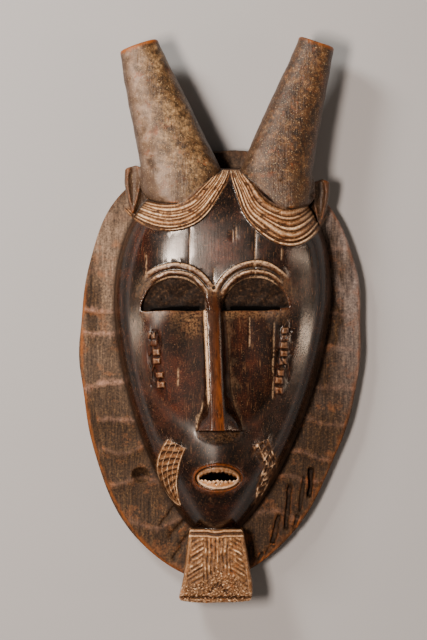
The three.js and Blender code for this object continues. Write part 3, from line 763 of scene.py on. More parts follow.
def adze_arris(x, y):
    """1 on the arrises between the board's adze cuts, falling to 0 in the bed of each cut."""
    place = y + 3 * wander(x, 0.3 * y, 6, 2) + 0.1 * np.abs(x)
    left, right = (np.interp(place, line, range(len(line))) for line in ARRISES)
    row = np.where(x < 0, left, right)
    return (2 * (row % 1) - 1) ** 2


def board_front(x, y):
    """The board's front: adze cuts across the grain, gouges and the knot hole."""
    cuts = 1.5 * adze_arris(x, y) + 0.5 * wander(x, y, 22, 2) + 0.12 * rough(x, 0.3 * y, 2.5, 1)
    return BOARD_THICKNESS - 0.5 + cuts - gouge_depth(x, y) - knot_depth(x, y)


# An old nail hole on the bridge of the nose.
NAIL = (-6.3, 7.8)


def cheek_hollow(x, y):
    """The faces beside the nose, scraped a little flatter than the dome."""
    return 2.2 * (spot(x, y, (-27, -38), (15, 26)) + spot(x, y, (18, -38), (15, 26)))


def front(x, y):
    """Height of the block's front over (x, y), with all that is carved on it."""
    r = egg_share(HEAD, x, y)
    on_head = skin(x, y) - 0.05 * scoops(x, y, 13, 21, 4) * (1 - clamp01(r) ** 4) * inside(y - 8, 20)
    z = np.where(r < 1, on_head - cheek_hollow(x, y), board_front(x, y))
    z = z + hair_relief(x, y)
    z = z + brow_relief(x, y) + nose_relief(x, y) - nose_end_gouge(x, y)
    z = z - socket_depth(x, y)
    z = mouth_height(x, y, z)
    z = z + scar_relief(x, y)
    z = z + stud_relief(x, y)
    nail = ridge(np.hypot(x - NAIL[0], y - NAIL[1]), 1.7)
    return z - 0.25 * crack_mask(x, y, 1.6) - 1.8 * nail


def block_field(x, y, z):
    """Board and head: everything that is carved from the front and flat behind."""
    angle = np.arctan2(y + BOARD["drop"], x - lean_at(y))
    uneven = 0.6 * np.sin(7 * angle + 1) + 0.4 * np.sin(13 * angle)
    rim = egg_distance(BOARD, x, y) + uneven
    top = z - front(x, y)
    turn = (angle + 0.81 * math.pi) / 0.42
    bevel = np.exp(-turn * turn)
    field = soft_max(top, rim, 1.6)
    field = np.maximum(field, (rim + 0.9 * np.minimum(z - BOARD_THICKNESS, 0) + 1.3 + 6.5 * bevel) / 1.35)
    return soft_max(field, -z, 1.4)


# The beard's upper edge, where its side bands lie across its half, and its sides in mm going down.
BEARD_TOP = -61 * L
BEARD_BANDS = (0.44, 0.86)
BEARD_LEFT = (-24.2, -25.8, -27.5, -29.9, -32.9)
BEARD_RIGHT = (14.9, 17.6, 19.9, 22.4, 21.6)


def beard_place(x, y):
    """The share down the beard, and across it from -1 to 1."""
    t = (BEARD_TOP - y) / BEARD_LENGTH
    left, right = along(BEARD_LEFT, t), along(BEARD_RIGHT, t)
    half = (right - left) / 2
    return t, (x - (left + right) / 2) / half, half


def beard_relief(x, y):
    """Slanting strokes in the side bands, upright ones between, and a pebbly worn patch below."""
    t, f, half = beard_place(x, y)
    reach = np.abs(f)
    low, high = BEARD_BANDS
    in_band = inside(low - reach, 0.08) * inside(reach - high, 0.06)
    slant = (y + 0.62 * reach * half + 0.6 * wander(x, y, 8, 3) + 0.6 * wander(x, y, 2.6, 1)) / STROKE_PITCH
    strokes = 1 - np.abs(2 * (slant % 1) - 1) ** 1.1
    straight = (x - FACE_AXIS + 0.4 * wander(x, y, 6, 1) + 0.35 * wander(y, x, 3, 4)) / (0.8 * STROKE_PITCH)
    strands = 1 - np.abs(2 * (straight % 1) - 1) ** 1.1
    in_middle = inside(reach - low, 0.06)
    worn = ease((t - 0.42 - 0.35 * np.abs(f) + 0.1 * wander(x, y, 5, 2)) / 0.16)
    strokes = strokes * in_band + 0.8 * strands * in_middle
    strokes = strokes * (0.8 + 0.3 * rough(x, y, 2.3, 8))
    carved = 1.4 * BEARD_RELIEF * (strokes - 0.45) + 0.3 * rough(x, y, 1.8, 3)
    from_notch = np.abs(x - FACE_AXIS - 2)
    notch = ridge(from_notch * 0.9 + y - BEARD_TOP + 40, 2.2) * inside(from_notch - 7, 2)
    worms = np.abs(rough(x, y, 0.85, 5)) * 1.5 - 0.6
    eroded = worms + 0.3 * rough(x, y, 4, 2) - 1.2 * notch
    border = BEARD_RELIEF * 0.7 * ridge(reach - 0.92, 0.06) * (1 - 0.5 * worn)
    lines = 0
    dip = 0.9 * ridge(f, 0.3)
    for at in (0.9, 4.9):
        lines = np.maximum(lines, ridge(BEARD_TOP - y - at - dip, 1.1))
    body = mix(carved, eroded, worn) + border
    head_end = inside(BEARD_TOP - y - 6, 1)
    return mix(body, 1.6 * lines - 0.9, head_end) - 1.8 * ridge(t - 0.925, 0.028)


def beard_field(x, y, z):
    """The beard: a slab that flares downwards and stands clear of the board's lower edge."""
    t, f, half = beard_place(x, y)
    t = clamp01(t)
    root = skin(FACE_AXIS, BEARD_TOP)
    face = mix(root + 2, BOARD_THICKNESS + BEARD_THICKNESS + 6, t) - 1.5 * f * f
    under = mix(BOARD_THICKNESS / 2, BOARD_THICKNESS + 5, clamp01((t - 0.62) / 0.3))
    top = z - face - beard_relief(x, y)
    sides = (np.abs(f) - 1) * half + 0.3 * wander(y, z, 7, 1)
    ends = np.maximum(y - BEARD_TOP - 0.6, BEARD_TOP - BEARD_LENGTH + 1.6 * f * f - y)
    field = soft_max(sides, ends + 0.3 * wander(x, z, 5, 2), 3)
    field = soft_max(field, top, 1.6)
    return soft_max(field, under - z, 2)


def hollow_roof(x, y):
    r = egg_share(HOLLOW, x, y)
    roof = BOARD_THICKNESS + HEAD_DEPTH - WALL + 0.8 * swell(MUZZLE, x, y)
    dome = np.sqrt(np.maximum(1 - np.minimum(r, 1) ** 4, 0))
    cuts = 1.3 * scoops(x, y, 10, 17, 3) * inside((r - 0.97) * 60, 4)
    return np.where(r < 1, roof * dome - cuts, -(r - 1) * 200)


# Beyond the grid, in mm.
FAR = 1000


def mask_field(x, y, z, spans):
    """The whole block's field. Each span says which part of the grid a piece can reach."""
    field = block_field(x, y, z)
    for horn in HORNS:
        part = spans(horn["foot"][1] - 3, FAR, *((-FAR, 18) if horn["side"] < 0 else (2, FAR)))
        field[part] = soft_min(field[part], horn_field(horn, *cut(part, x, y, z)), 1.2)
    for ear in EARS:
        part = spans(ear["low"][1] - 3, ear["high"][1] + 4, ear["low"][0] - 14, ear["low"][0] + 14)
        field[part] = soft_min(field[part], ear_field(ear, *cut(part, x, y, z)), 1)
    part = spans(-FAR, BEARD_TOP + 3, FACE_AXIS - 34, FACE_AXIS + 34)
    field[part] = soft_min(field[part], beard_field(*cut(part, x, y, z)), 0.6)
    roof = hollow_roof(x, y)
    field = np.maximum(field, roof - z)
    part = spans(MOUTH[1] - 60, EYE_LINE + 6, -62, 62)
    field[part] = np.maximum(field[part], -holes(*cut(part, x, y, z)))
    return field


def cut(part, x, y, z):
    """The grid's coordinates over one part of it."""
    return x[part[0]], y[:, part[1]], z


def grid_skin():
    """The skin where the field is nought, as points in mm and four-sided faces."""
    low = np.array(GRID_LOW)
    counts = np.ceil((np.array(GRID_HIGH) - low) / CELL).astype(int)
    x, y, z = (low[i] + CELL[i] * np.arange(counts[i]) for i in range(3))
    x, y, z = x[:, None, None], y[None, :, None], z[None, None, :]

    def spans(y0, y1, x0, x1):
        xs, ys = x.ravel(), y.ravel()
        return (
            slice(np.searchsorted(xs, x0), np.searchsorted(xs, x1)),
            slice(np.searchsorted(ys, y0), np.searchsorted(ys, y1)),
        )

    field = mask_field(x, y, z, spans).astype(np.float32)
    points, quads = surface_net(field)
    return points * CELL + low, quads


def surface_net(field):
    """One point in each cell that the skin passes through, and a face across each crossed edge."""
    solid = field < 0
    corners = [(i, j, k) for i in (0, 1) for j in (0, 1) for k in (0, 1)]
    shape = tuple(n - 1 for n in field.shape)

    def shifted(a, c):
        return a[c[0] : c[0] + shape[0], c[1] : c[1] + shape[1], c[2] : c[2] + shape[2]]

    full = sum(shifted(solid, c).astype(np.int8) for c in corners)
    cells = np.argwhere((full > 0) & (full < 8))
    names = np.full(shape, -1, np.int32)
    names[tuple(cells.T)] = np.arange(len(cells))
    values = {c: field[tuple((cells + c).T)].astype(float) for c in corners}
    total = np.zeros((len(cells), 3))
    crossings = np.zeros(len(cells))
    for start in corners:
        for axis in range(3):
            if start[axis]:
                continue
            end = tuple(1 if i == axis else start[i] for i in range(3))
            a, b = values[start], values[end]
            crossed = (a < 0) != (b < 0)
            share = np.where(crossed, a / np.where(crossed, a - b, 1), 0)
            place = np.array(start, float) + share[:, None] * (np.array(end) - np.array(start))
            total += place * crossed[:, None]
            crossings += crossed
    points = cells + total / crossings[:, None]
    faces = []
    for axis in range(3):
        others = [i for i in range(3) if i != axis]
        ahead = np.take(solid, range(1, field.shape[axis]), axis)
        behind = np.take(solid, range(field.shape[axis] - 1), axis)
        edge = np.argwhere(ahead != behind)
        edge = edge[(edge[:, others] > 0).all(1) & (edge[:, others] < np.array(shape)[others]).all(1)]
        inward = ahead[tuple(edge.T)]
        ring = []
        for da, db in ((0, 0), (1, 0), (1, 1), (0, 1)):
            cell = edge.copy()
            cell[:, others[0]] -= da
            cell[:, others[1]] -= db
            ring.append(names[tuple(cell.T)])
        quad = np.stack(ring, 1)
        flip = inward if axis != 1 else ~inward
        quad[flip] = quad[flip][:, ::-1]
        faces.append(quad)
    return points, np.concatenate(faces)


def mesh_from(name, points, faces):
    """A mesh from arrays of points in metres and faces of equal length."""
    mesh = bpy.data.meshes.new(name)
    mesh.vertices.add(len(points))
    mesh.vertices.foreach_set("co", points.astype(np.float32).ravel())
    sides = faces.shape[1]
    mesh.loops.add(faces.size)
    mesh.loops.foreach_set("vertex_index", faces.astype(np.int32).ravel())
    mesh.polygons.add(len(faces))
    mesh.polygons.foreach_set("loop_start", np.arange(0, faces.size, sides, dtype=np.int32))
    mesh.update(calc_edges=True)
    mesh.validate()
    return mesh


def link(name, data):
    """An object around its data, put into the scene."""
    piece = bpy.data.objects.new(name, data)
    bpy.context.scene.collection.objects.link(piece)
    return piece


# Kinds of node: Blender's name, its settings, the inputs that values go to in turn, and the output.
COORDINATES = ("ShaderNodeTexCoord", {}, (), "Object")
ATTRIBUTE = ("ShaderNodeAttribute", {}, (), "Fac")
PARTS = ("ShaderNodeSeparateXYZ", {}, (0,), 0)
STRETCH = ("ShaderNodeMapping", {}, ("Vector", "Scale"), 0)
NOISE = ("ShaderNodeTexNoise", {}, ("Vector", "Scale", "Detail", "Roughness"), 0)
RAMP = ("ShaderNodeValToRGB", {}, (0,), 0)
SPAN = ("ShaderNodeMapRange", {}, (0, 1, 2, 3, 4), 0)
MIX = ("ShaderNodeMix", {"data_type": "RGBA"}, (0, 6, 7), 2)
DARKEN = ("ShaderNodeMix", {"data_type": "RGBA", "blend_type": "MULTIPLY"}, (0, 6, 7), 2)
MIX_VALUE = ("ShaderNodeMix", {}, (0, 2, 3), 0)
PLUS, MINUS, TIMES, OVER, LARGER, SIZE_OF = (
    ("ShaderNodeMath", {"operation": operation}, (0, 1), 0)
    for operation in ("ADD", "SUBTRACT", "MULTIPLY", "DIVIDE", "MAXIMUM", "ABSOLUTE")
)
BUMP = ("ShaderNodeBump", {}, ("Height", "Strength", "Distance"), 0)
SURFACE_INPUTS = ("Base Color", "Roughness", "Normal", "IOR", "Specular IOR Level")
SURFACE = ("ShaderNodeBsdfPrincipled", {}, SURFACE_INPUTS, 0)
MATERIAL_OUT = ("ShaderNodeOutputMaterial", {}, ("Surface",), None)
GIVEN = ("NodeGroupInput", {}, (), 0)
POSITION = ("GeometryNodeInputPosition", {}, (), 0)
NORMAL = ("GeometryNodeInputNormal", {}, (), 0)
NAMED = ("GeometryNodeInputNamedAttribute", {"data_type": "FLOAT"}, ("Name",), 0)
VECTOR = ("ShaderNodeCombineXYZ", {}, (0, 1, 2), 0)
STRETCHED = ("ShaderNodeVectorMath", {"operation": "MULTIPLY"}, (0, 1), 0)
SCALED = ("ShaderNodeVectorMath", {"operation": "SCALE"}, (0, "Scale"), 0)
SEEDED_NOISE = ("ShaderNodeTexNoise", {"noise_dimensions": "4D"}, ("Vector", "W", "Scale", "Detail"), 0)
SET_POSITION = ("GeometryNodeSetPosition", {}, ("Geometry", "Offset"), 0)
REALIZE = ("GeometryNodeRealizeInstances", {}, (0,), 0)
SET_MATERIAL = ("GeometryNodeSetMaterial", {}, ("Geometry", "Material"), 0)
GROUP_OUT = ("NodeGroupOutput", {}, (0,), None)


def add(tree, kind, *values, out=None, stops=(), **settings):
    """Adds a node with its settings, sets or links its inputs, and returns one of its outputs."""
    blender_name, fixed, places, usual_out = kind
    node = tree.nodes.new(blender_name)
    for name, value in {**fixed, **settings}.items():
        setattr(node, name, value)
    for key, value in zip(places, values):
        if isinstance(value, bpy.types.NodeSocket):
            tree.links.new(value, node.inputs[key])
        else:
            node.inputs[key].default_value = value
    for n, (place, code) in enumerate(stops):
        element = node.color_ramp.elements[n] if n < 2 else node.color_ramp.elements.new(1)
        element.position = place
        element.color = linear(code)
    out = usual_out if out is None else out
    return None if out is None else node.outputs[out]


# The fine grain's sizes in metres, and its seed.
GRAIN = (("Grain Width", 0.0016), ("Grain Length", 0.03), ("Depth", 0.00012), ("Seed", 4.0))


def tool_marks(material):
    """Geometry nodes that roughen the skin along its normals with a fine grain, and give it its material."""
    tree = bpy.data.node_groups.new("tool_marks", "GeometryNodeTree")
    tree.interface.new_socket("Geometry", in_out="INPUT", socket_type="NodeSocketGeometry")
    for name, value in GRAIN:
        tree.interface.new_socket(name, in_out="INPUT", socket_type="NodeSocketFloat").default_value = value
    tree.interface.new_socket("Geometry", in_out="OUTPUT", socket_type="NodeSocketGeometry")
    node = partial(add, tree)
    skin_in, width, length, depth, seed = (node(GIVEN, out=n) for n in range(5))
    across, on = node(OVER, 1.0, width), node(OVER, 1.0, length)
    stretched = node(STRETCHED, node(POSITION), node(VECTOR, across, on, across))
    grain = node(SEEDED_NOISE, stretched, seed, 1.0, 2.0)
    push = node(TIMES, node(TIMES, node(MINUS, grain, 0.5), depth), node(NAMED, "matt"))
    moved = node(SET_POSITION, skin_in, node(SCALED, node(NORMAL), push))
    node(GROUP_OUT, node(SET_MATERIAL, node(REALIZE, moved), material))
    return tree


def settle(piece, material):
    """Roughens the piece, thins its mesh to the triangles it may have, and keeps the plain result."""
    marks = piece.modifiers.new("tool_marks", "NODES")
    marks.node_group = tool_marks(material)
    thin = piece.modifiers.new("thin", "DECIMATE")
    thin.vertex_group = "plain"
    thin.vertex_group_factor = KEEP_EVEN
    thin.ratio = TRIANGLES / (2 * len(piece.data.polygons))
    thin.use_collapse_triangulate = True
    graph = bpy.context.evaluated_depsgraph_get()
    made = bpy.data.meshes.new_from_object(piece.evaluated_get(graph))
    piece.modifiers.clear()
    piece.data = made
    made.name = piece.name


def read_mesh(mesh):
    """The mesh's points in mm, its normals and its edges."""
    points = np.zeros(len(mesh.vertices) * 3, np.float32)
    mesh.vertices.foreach_get("co", points)
    normals = np.zeros(len(mesh.vertices) * 3, np.float32)
    mesh.vertices.foreach_get("normal", normals)
    edges = np.zeros(len(mesh.edges) * 2, np.int32)
    mesh.edges.foreach_get("vertices", edges)
    return points.reshape(-1, 3) / MM, normals.reshape(-1, 3), edges.reshape(-1, 2)


def spread(values, edges, times):
    """Averages a value on each point with its neighbours."""
    count = np.bincount(edges.ravel(), minlength=len(values)).astype(float)
    for _ in range(times):
        total = np.bincount(edges[:, 0], values[edges[:, 1]], len(values))
        total += np.bincount(edges[:, 1], values[edges[:, 0]], len(values))
        values = mix(values, total / np.maximum(count, 1), 0.5)
    return values


def bulge_of(points, normals, edges):
    """How much the skin bulges at each point, in 1/mm: above nought on arrises, below in grooves."""
    a, b = edges.T
    way = points[b] - points[a]
    far = np.maximum((way * way).sum(1), 1e-4)
    turn = ((normals[b] - normals[a]) * way).sum(1) / far
    count = np.bincount(edges.ravel(), minlength=len(points)).astype(float)
    total = np.bincount(a, turn, len(points)) + np.bincount(b, turn, len(points))
    return spread(total / np.maximum(count, 1), edges, 2)


def store(mesh, name, values):
    attribute = mesh.attributes.new(name, "FLOAT", "POINT")
    attribute.data.foreach_set("value", np.asarray(values, np.float32))


def finishes(mesh, shift):
    """Writes where each finish lies on the mesh, as attributes that the material reads."""
    points, normals, edges = read_mesh(mesh)
    x, y, z = (points - shift).T
    up = normals[:, 2]
    r = egg_share(HEAD, x, y)
    plain = skin(x, y)
    on_horns = [inside(horn_field(horn, x, y, z) - 0.7, 1.2) for horn in HORNS]
    horn = np.max(on_horns, 0)
    ear = np.max([inside(ear_field(ear, x, y, z) - 0.7, 1.2) for ear in EARS], 0)
    bare = (1 - horn) * (1 - ear)
    beard = inside(beard_field(x, y, z) - 0.6, 1) * inside(y - BEARD_TOP - 0.3, 1)
    back = np.maximum(inside(z - 1.5, 1), inside(z - hollow_roof(x, y) - 0.6, 1) * inside(r - 0.97, 0.02))
    on_head = inside(r - 1, 0.012) * inside(BOARD_THICKNESS + 0.8 - z, 1.2) * (1 - back)
    on_board = inside(1 - r, 0.01) * inside(z - BOARD_THICKNESS - 1.5, 1.5) * bare * (1 - beard) * (1 - back)
    hair = hair_mask(x, y) * inside(BOARD_THICKNESS - z, 2) * bare * inside(plain - 7 - z, 3)
    socket = socket_mask(x, y, 1.2) * inside(z - plain + 0.5, 1) * on_head
    nose = ease(nose_relief(x, y) / 3) * on_head
    patches = scar_mask(x, y) * on_head
    combed = np.max([hair, beard, patches * np.where(x < 0, 1, 0.6)], 0)
    studs = clamp01(stud_relief(x, y) / 1.2) * on_head

    # Crests and grooves come from how the skin bends, or from the relief itself where one was carved.
    bulge = bulge_of(points, normals, edges)
    crest = ease((bulge - 0.05) / 0.5)
    groove = ease((-bulge - 0.05) / 0.45)
    relief = hair_relief(x, y)
    crest = mix(crest, ease((relief - 1.4) / 0.9) * hair_rubbed(x, y), hair)
    groove = mix(groove, ease((1.5 - relief) / 0.8), hair)
    relief = beard_relief(x, y)
    beard_front = beard * ease(up * 2 - 0.8)
    low_end = ease((BEARD_TOP - 28 - y) / 10)
    crest = mix(crest, ease((relief - 0.25) / 0.9) * mix(1, 0.15, low_end), beard_front)
    groove = mix(groove, ease((mix(-0.05, 0.15, low_end) - relief) / 0.9), beard_front)
    relief = scar_relief(x, y)
    crest = mix(crest, 0.9 * ease((relief - np.where(x < 0, 1.1, 0.6)) / 0.5), patches)
    groove = mix(groove, ease((0.35 - relief) / 0.9), patches)

    # Painted shade: the walls of the gap between the teeth are painted nearly black.
    in_gap = inside(holes(x, y, z) - 1.2, 1) * inside(z - plain + MOUTH_LEDGE + 1.8, 1)
    tunnel = in_gap * inside(MOUTH[1] - 14 - y, 4)
    from_lip = mouth_distance(x, y)
    mouth = inside(from_lip - 0.8, 1.2) * on_head * (1 - tunnel)
    lip = mouth * inside(-from_lip - 2.1, 0.8)
    ledge = mouth * inside(from_lip + 2, 0.8)
    # The lower ledge's ring, painted near white: pale residue with a painted highlight.
    gum = ridge(from_lip + 3.3, 0.8) * inside(y - MOUTH[1] + 2, 3) * on_head
    above_gap = inside(MOUTH[1] + GAP_LIFT - y, 3)
    crest = mix(crest, np.maximum(gum, mix(0.5, 0.35, above_gap) * crest), ledge)

    # Painted shade: the pocket behind the crown between the horns, the dark line where the head meets the
    # board, and the beds of the gouges.
    between_horns = inside(CROWN_TOP + 2 - y, 3) * inside(np.abs(x - 3) - 18, 4) * (1 - horn)
    junction = 0.7 * np.exp(-(((r - 1) / 0.018) ** 2)) * inside(BOARD_THICKNESS - 3 - z, 3) * bare
    gouged = 0.85 * clamp01(gouge_depth(x, y) / 2.5 - 0.4) * (r > 1)
    # Painted shade: each socket darkens towards the eye slit at its foot.
    slit = socket * np.exp(-(((y - EYE_LINE) / 5) ** 2))
    # A redder spot in the middle of the forehead, painted haze around the forehead's highlight, and a redder
    # patch low on the left cheek.
    ruddy = spot(x, y, (-2, 37), (14, 13)) + 0.7 * spot(x, y, (-38, -68), (16, 26))

    middle, flat, _, half, _ = nose_lines(y)
    plane = (x - middle - NOSE_SHIFT) / flat
    rubbed = nose * inside(np.abs(plane) - 1.1, 0.4) * mix(0.35, 1, ease((plane + 0.4) / 0.9))
    brow = 0.6 * ease(brow_relief(x, y) / 1.2) * on_head
    nose_end = NOSE_Y[0] * L
    broken = inside(ellipse_distance(x - FACE_AXIS - 3, y - nose_end + 1, 16, 8), 3) * inside(y - nose_end, 1)
    foot = ridge(np.abs(x - middle) - half - 0.2, 0.6) * inside(nose_end + 1 - y, 2) * inside(y + 8, 3)
    foot = foot * np.where(x > middle, 0.15, ease((-74 - y) / 8))
    # Painted highlight: a pale line down the nose's left arris, where the light from the left catches it.
    nose_edge_highlight = 2.4 * ridge(x - middle + 7.3, 1.15) * inside(y + 9, 4) * inside(-76 - y, 6)
    ring = ridge(np.hypot(x - NAIL[0], y - NAIL[1]) - 1.9, 0.7)
    face_lines = np.max([0.5 * crack_mask(x, y), foot, nose_edge_highlight, brow_line(x, y)], 0) * on_head

    cheeks = inside(ellipse_distance(x - FACE_AXIS, y + 46, 52, 54), 14) * on_head * (1 - nose)
    above_mouth = 0.72 * inside(ellipse_distance(x - MOUTH[0], y + 113, 24, 14), 12)
    forehead = 0.24 * inside(ellipse_distance(x, y - 38, 46, 22), 20) * on_head
    left_board = np.interp(y, (-100, -70, -10, 8), (0.3, 1, 1, 0.2))
    # Painted highlight on the arrises between the adze cuts, strongest on the left of the board where the
    # light falls.
    adzed = ease((adze_arris(x, y) - 0.78) / 0.2) * np.where(x < 0, left_board, 0.3)
    worn_rim = ridge(egg_distance(BOARD, x, y) + 1.4, 1.3) * np.where(x < 0, ease((30 - y) / 40), 0.35)
    across_horns, tips = 0, 0
    for own, on_horn in zip(HORNS, on_horns):
        _, root, end, way = horn_ends(own)
        share = (y - root[1]) / HORN_LENGTH
        half = mix(HORN_ROOT_WIDTH, HORN_END_WIDTH, clamp01(share)) / 2
        across_horns = across_horns + on_horn * clamp01(0.5 + 0.5 * (x - mix(root[0], end[0], share)) / half)
        past_end = (x - end[0]) * way[0] + (y - end[1]) * way[1]
        tips = tips + on_horn * inside(-past_end - 1.9, 1.2)

    places = dict(
        gloss=on_head * bare * (1 - combed) * (1 - socket) * (1 - beard),
        crust=np.maximum(horn, ear),
        combed=combed,
        # The sockets' own dark crust, with painted shade between the horns, along the head's foot and in the
        # gouges.
        soot=np.max([socket, 0.8 * between_horns, junction * (1 - beard), gouged * (1 - beard)], 0),
        # Painted shade: nearly black inside the gap between the teeth and over the lower sockets by the eye
        # slits.
        hole=np.maximum(tunnel, 0.85 * slit),
        steep=on_head * ease((0.72 - up) / 0.12),
        ruddy=ruddy * on_head,
        mouth=ledge * mix(0.55, 1, inside(y - MOUTH[1] - 3, 2)),
        ridge=np.max([rubbed, lip, 0.85 * studs, brow], 0),
        dust=np.maximum(dust_mask(x, y) * on_head * (1 - horn), 0.3 * broken * on_head),
        line=np.maximum(face_lines, 0.7 * ring),
        dry=np.max([cheeks, broken, above_mouth, forehead], 0),
        brow=np.maximum(patches, 0.2 * studs),
        back=back,
        crest=crest,
        groove=groove,
        arris=on_board * adzed,
        across_horn=across_horns,
        rim=np.maximum(0.7 * on_board * worn_rim, tips),
    )
    for name, values in places.items():
        store(mesh, name, values)


def linear(code):
    """An sRGB hex colour as linear red, green, blue and 1."""
    parts = [int(code[i : i + 2], 16) / 255 for i in (0, 2, 4)]
    return [c / 12.92 if c <= 0.04045 else ((c + 0.055) / 1.055) ** 2.4 for c in parts] + [1]


# Where the stops of the colour ramps lie, over the noise that each of them reads.
WEATHERED = (0.34, 0.46, 0.56, 0.68)
GRITTY = (0.36, 0.45, 0.53, 0.62, 0.7)
BUMP_STRENGTH = 0.6
BUMP_HEIGHT = 0.7 * MM
VARNISH_IOR = 1.5


def carved_hardwood():
    """Old carved hardwood: raw and grey where it was only adzed, dark and shiny where hands, oil and
    smoke have polished it, crusted on the horns, and rubbed pale on the crests of the carving."""
    # Painted light in this material: shade in grooves, gouges, holes, behind the crown and along the head's
    # foot, a darker lower board, a sheen and shaded flanks and feet on the horns, and highlights on the
    # board's arrises, the nose's left edge and the mouth's ledge.
    material = bpy.data.materials.new("aged_carved_hardwood")
    material.use_nodes = True
    material.node_tree.nodes.clear()
    node = partial(add, material.node_tree)

    place = node(COORDINATES)
    across, height = (node(PARTS, place, out=axis) for axis in ("X", "Y"))
    scratched, along_grain, drawn_out = (node(STRETCH, place, (1, share, 1)) for share in (0.05, 0.06, 0.35))
    # What each noise reads, how many mm across its blotches are, its detail and its roughness.
    fibre, stipple, blotch, stain, speck, grain, fine, scratch, grit, rust, grime, crumb, patchy, crumbs = (
        node(NOISE, where, 1 / (size * MM), detail, roughness)
        for where, size, detail, roughness in (
            (along_grain, 1.3, 5, 0.55),
            (drawn_out, 1.1, 3, 0.7),
            (drawn_out, 26, 4, 0.55),
            (place, 12, 6, 0.65),
            (place, 1.7, 3, 0.7),
            (place, 1.5, 4, 0.75),
            (place, 0.9, 2, 0.8),
            (scratched, 0.7, 2, 0.6),
            (place, 3.4, 9, 0.78),
            (place, 8, 6, 0.7),
            (place, 11, 6, 0.62),
            (place, 0.95, 2, 0.6),
            (place, 7, 3, 0.6),
            (place, 2.2, 5, 0.7),
        )
    )
    crest, groove, gloss, horn, combed, brow, soot, mouth, nose, back = (
        node(ATTRIBUTE, attribute_name=name)
        for name in "crest groove gloss crust combed brow soot mouth ridge back".split()
    )
    dust, line, dry, hole, over, ruddy, arris, rim, steep = (
        node(ATTRIBUTE, attribute_name=name)
        for name in "dust line dry hole across_horn ruddy arris rim steep".split()
    )

    weathered = node(MIX_VALUE, 0.6, fibre, grain)
    board, greyer, earth_and_shade, lock = (
        node(RAMP, weathered, stops=zip(WEATHERED, codes.split()))
        for codes in (
            "3c3028 736153 97806c c2ac93",
            "3a3537 7f7675 9f9592 c9bdb8",
            "100a05 291b0f 402d1b 6c5333",
            "281a0e 6e4826 a3764e e2c096",
        )
    )
    for share, colour in (
        (node(SPAN, across, 0.0, 0.07, 0, 0.85), greyer),
        # Earthy brown in random blotches, then painted shade: the board darkens towards its lower end, away
        # from the light above.
        (node(SPAN, blotch, 0.46, 0.64, 0, 1), earth_and_shade),
        (node(SPAN, height, 0.08, -0.08, 0, 0.97), earth_and_shade),
        (node(SPAN, stain, 0.56, 0.7, 0, 0.5), linear("8a5732")),
    ):
        board = node(MIX, share, board, colour)

    raw = node(RAMP, fibre, stops=((0.3, "3a2a1e"), (0.5, "5d4531"), (0.75, "7a5f45")))

    patina = node(RAMP, stain, stops=((0.32, "0b0705"), (0.48, "190e09"), (0.6, "2c170e"), (0.74, "4a2312")))
    redder = node(TIMES, node(SPAN, blotch, 0.48, 0.68, 0, 1), node(SPAN, fibre, 0.35, 0.62, 0, 1))
    redder = node(TIMES, redder, node(SPAN, height, -0.11, -0.07, 0.15, 0.8))
    redder = node(TIMES, redder, node(SPAN, across, 0.005, 0.03, 1, 0.35))
    # Redder where ruddy: partly painted haze of the forehead's highlight.
    redder = node(LARGER, redder, node(TIMES, ruddy, node(SPAN, stain, 0.4, 0.6, 0.25, 1)))
    patina = node(MIX, redder, patina, linear("572612"))
    patina = node(MIX, node(SPAN, stipple, 0.56, 0.7, 0, 0.35), patina, linear("6b4326"))
    smoke = node(RAMP, fine, stops=((0.4, "9c9c9c"), (0.5, "e4e4e4"), (0.6, "ffffff")))
    patina = node(DARKEN, 1.0, patina, smoke)
    patina = node(MIX, node(SPAN, fine, 0.66, 0.72, 0, 0.6), patina, linear("a87d5a"))
    patina = node(MIX, node(SPAN, scratch, 0.63, 0.7, 0, 0.5), patina, linear("7d5a3d"))

    crust, redder_crust = (
        node(RAMP, grit, stops=zip(GRITTY, codes.split()))
        for codes in ("2b1f14 5e4a34 84694a ad8e66 dcc297", "140c06 361f0c 503217 734f2b b6905c")
    )
    # Painted sheen: the left side of each horn is painted a lighter grey, where the light from the left
    # shines on it.
    painted_sheen = node(SPAN, node(PLUS, over, node(TIMES, blotch, 0.7)), 0.95, 0.5, 0, 0.75)
    grimy = node(RAMP, grime, stops=((0.38, "a4988a"), (0.48, "d2c9bd"), (0.57, "ffffff")))
    # Painted shade: both flanks of each horn darken away from its middle.
    from_middle = node(SIZE_OF, node(MINUS, over, 0.5))
    for kind, share, colour in (
        (MIX, painted_sheen, linear("9a8577")),
        # The right horn in a redder crust that is also darker: its own redder colour, with painted shade of
        # the light falling from the left.
        (MIX, node(SPAN, across, -0.03, 0.04, 0, 0.9), redder_crust),
        (MIX, node(SPAN, rust, 0.57, 0.67, 0, 0.6), linear("86451c")),
        (MIX, node(SPAN, stain, 0.46, 0.36, 0, 0.55), linear("2e2115")),
        (DARKEN, 1.0, grimy),
        # Painted shade: the horns darken at their feet, just above the hair.
        (MIX, node(SPAN, height, 0.088, 0.112, 0.55, 0), linear("38281a")),
        # Painted shade on the horns' flanks.
        (MIX, node(SPAN, from_middle, 0.36, 0.5, 0, 0.75), linear("3a2515")),
        (MIX, node(SPAN, crumb, 0.62, 0.7, 0, 0.45), linear("dcc49a")),
    ):
        crust = node(kind, share, crust, colour)

    lock = node(MIX, node(SPAN, height, -0.14, -0.2, 0, 0.6), lock, linear("5d4024"))
    lock = node(MIX, node(SPAN, rust, 0.53, 0.64, 0, 0.6), lock, linear("8f5426"))

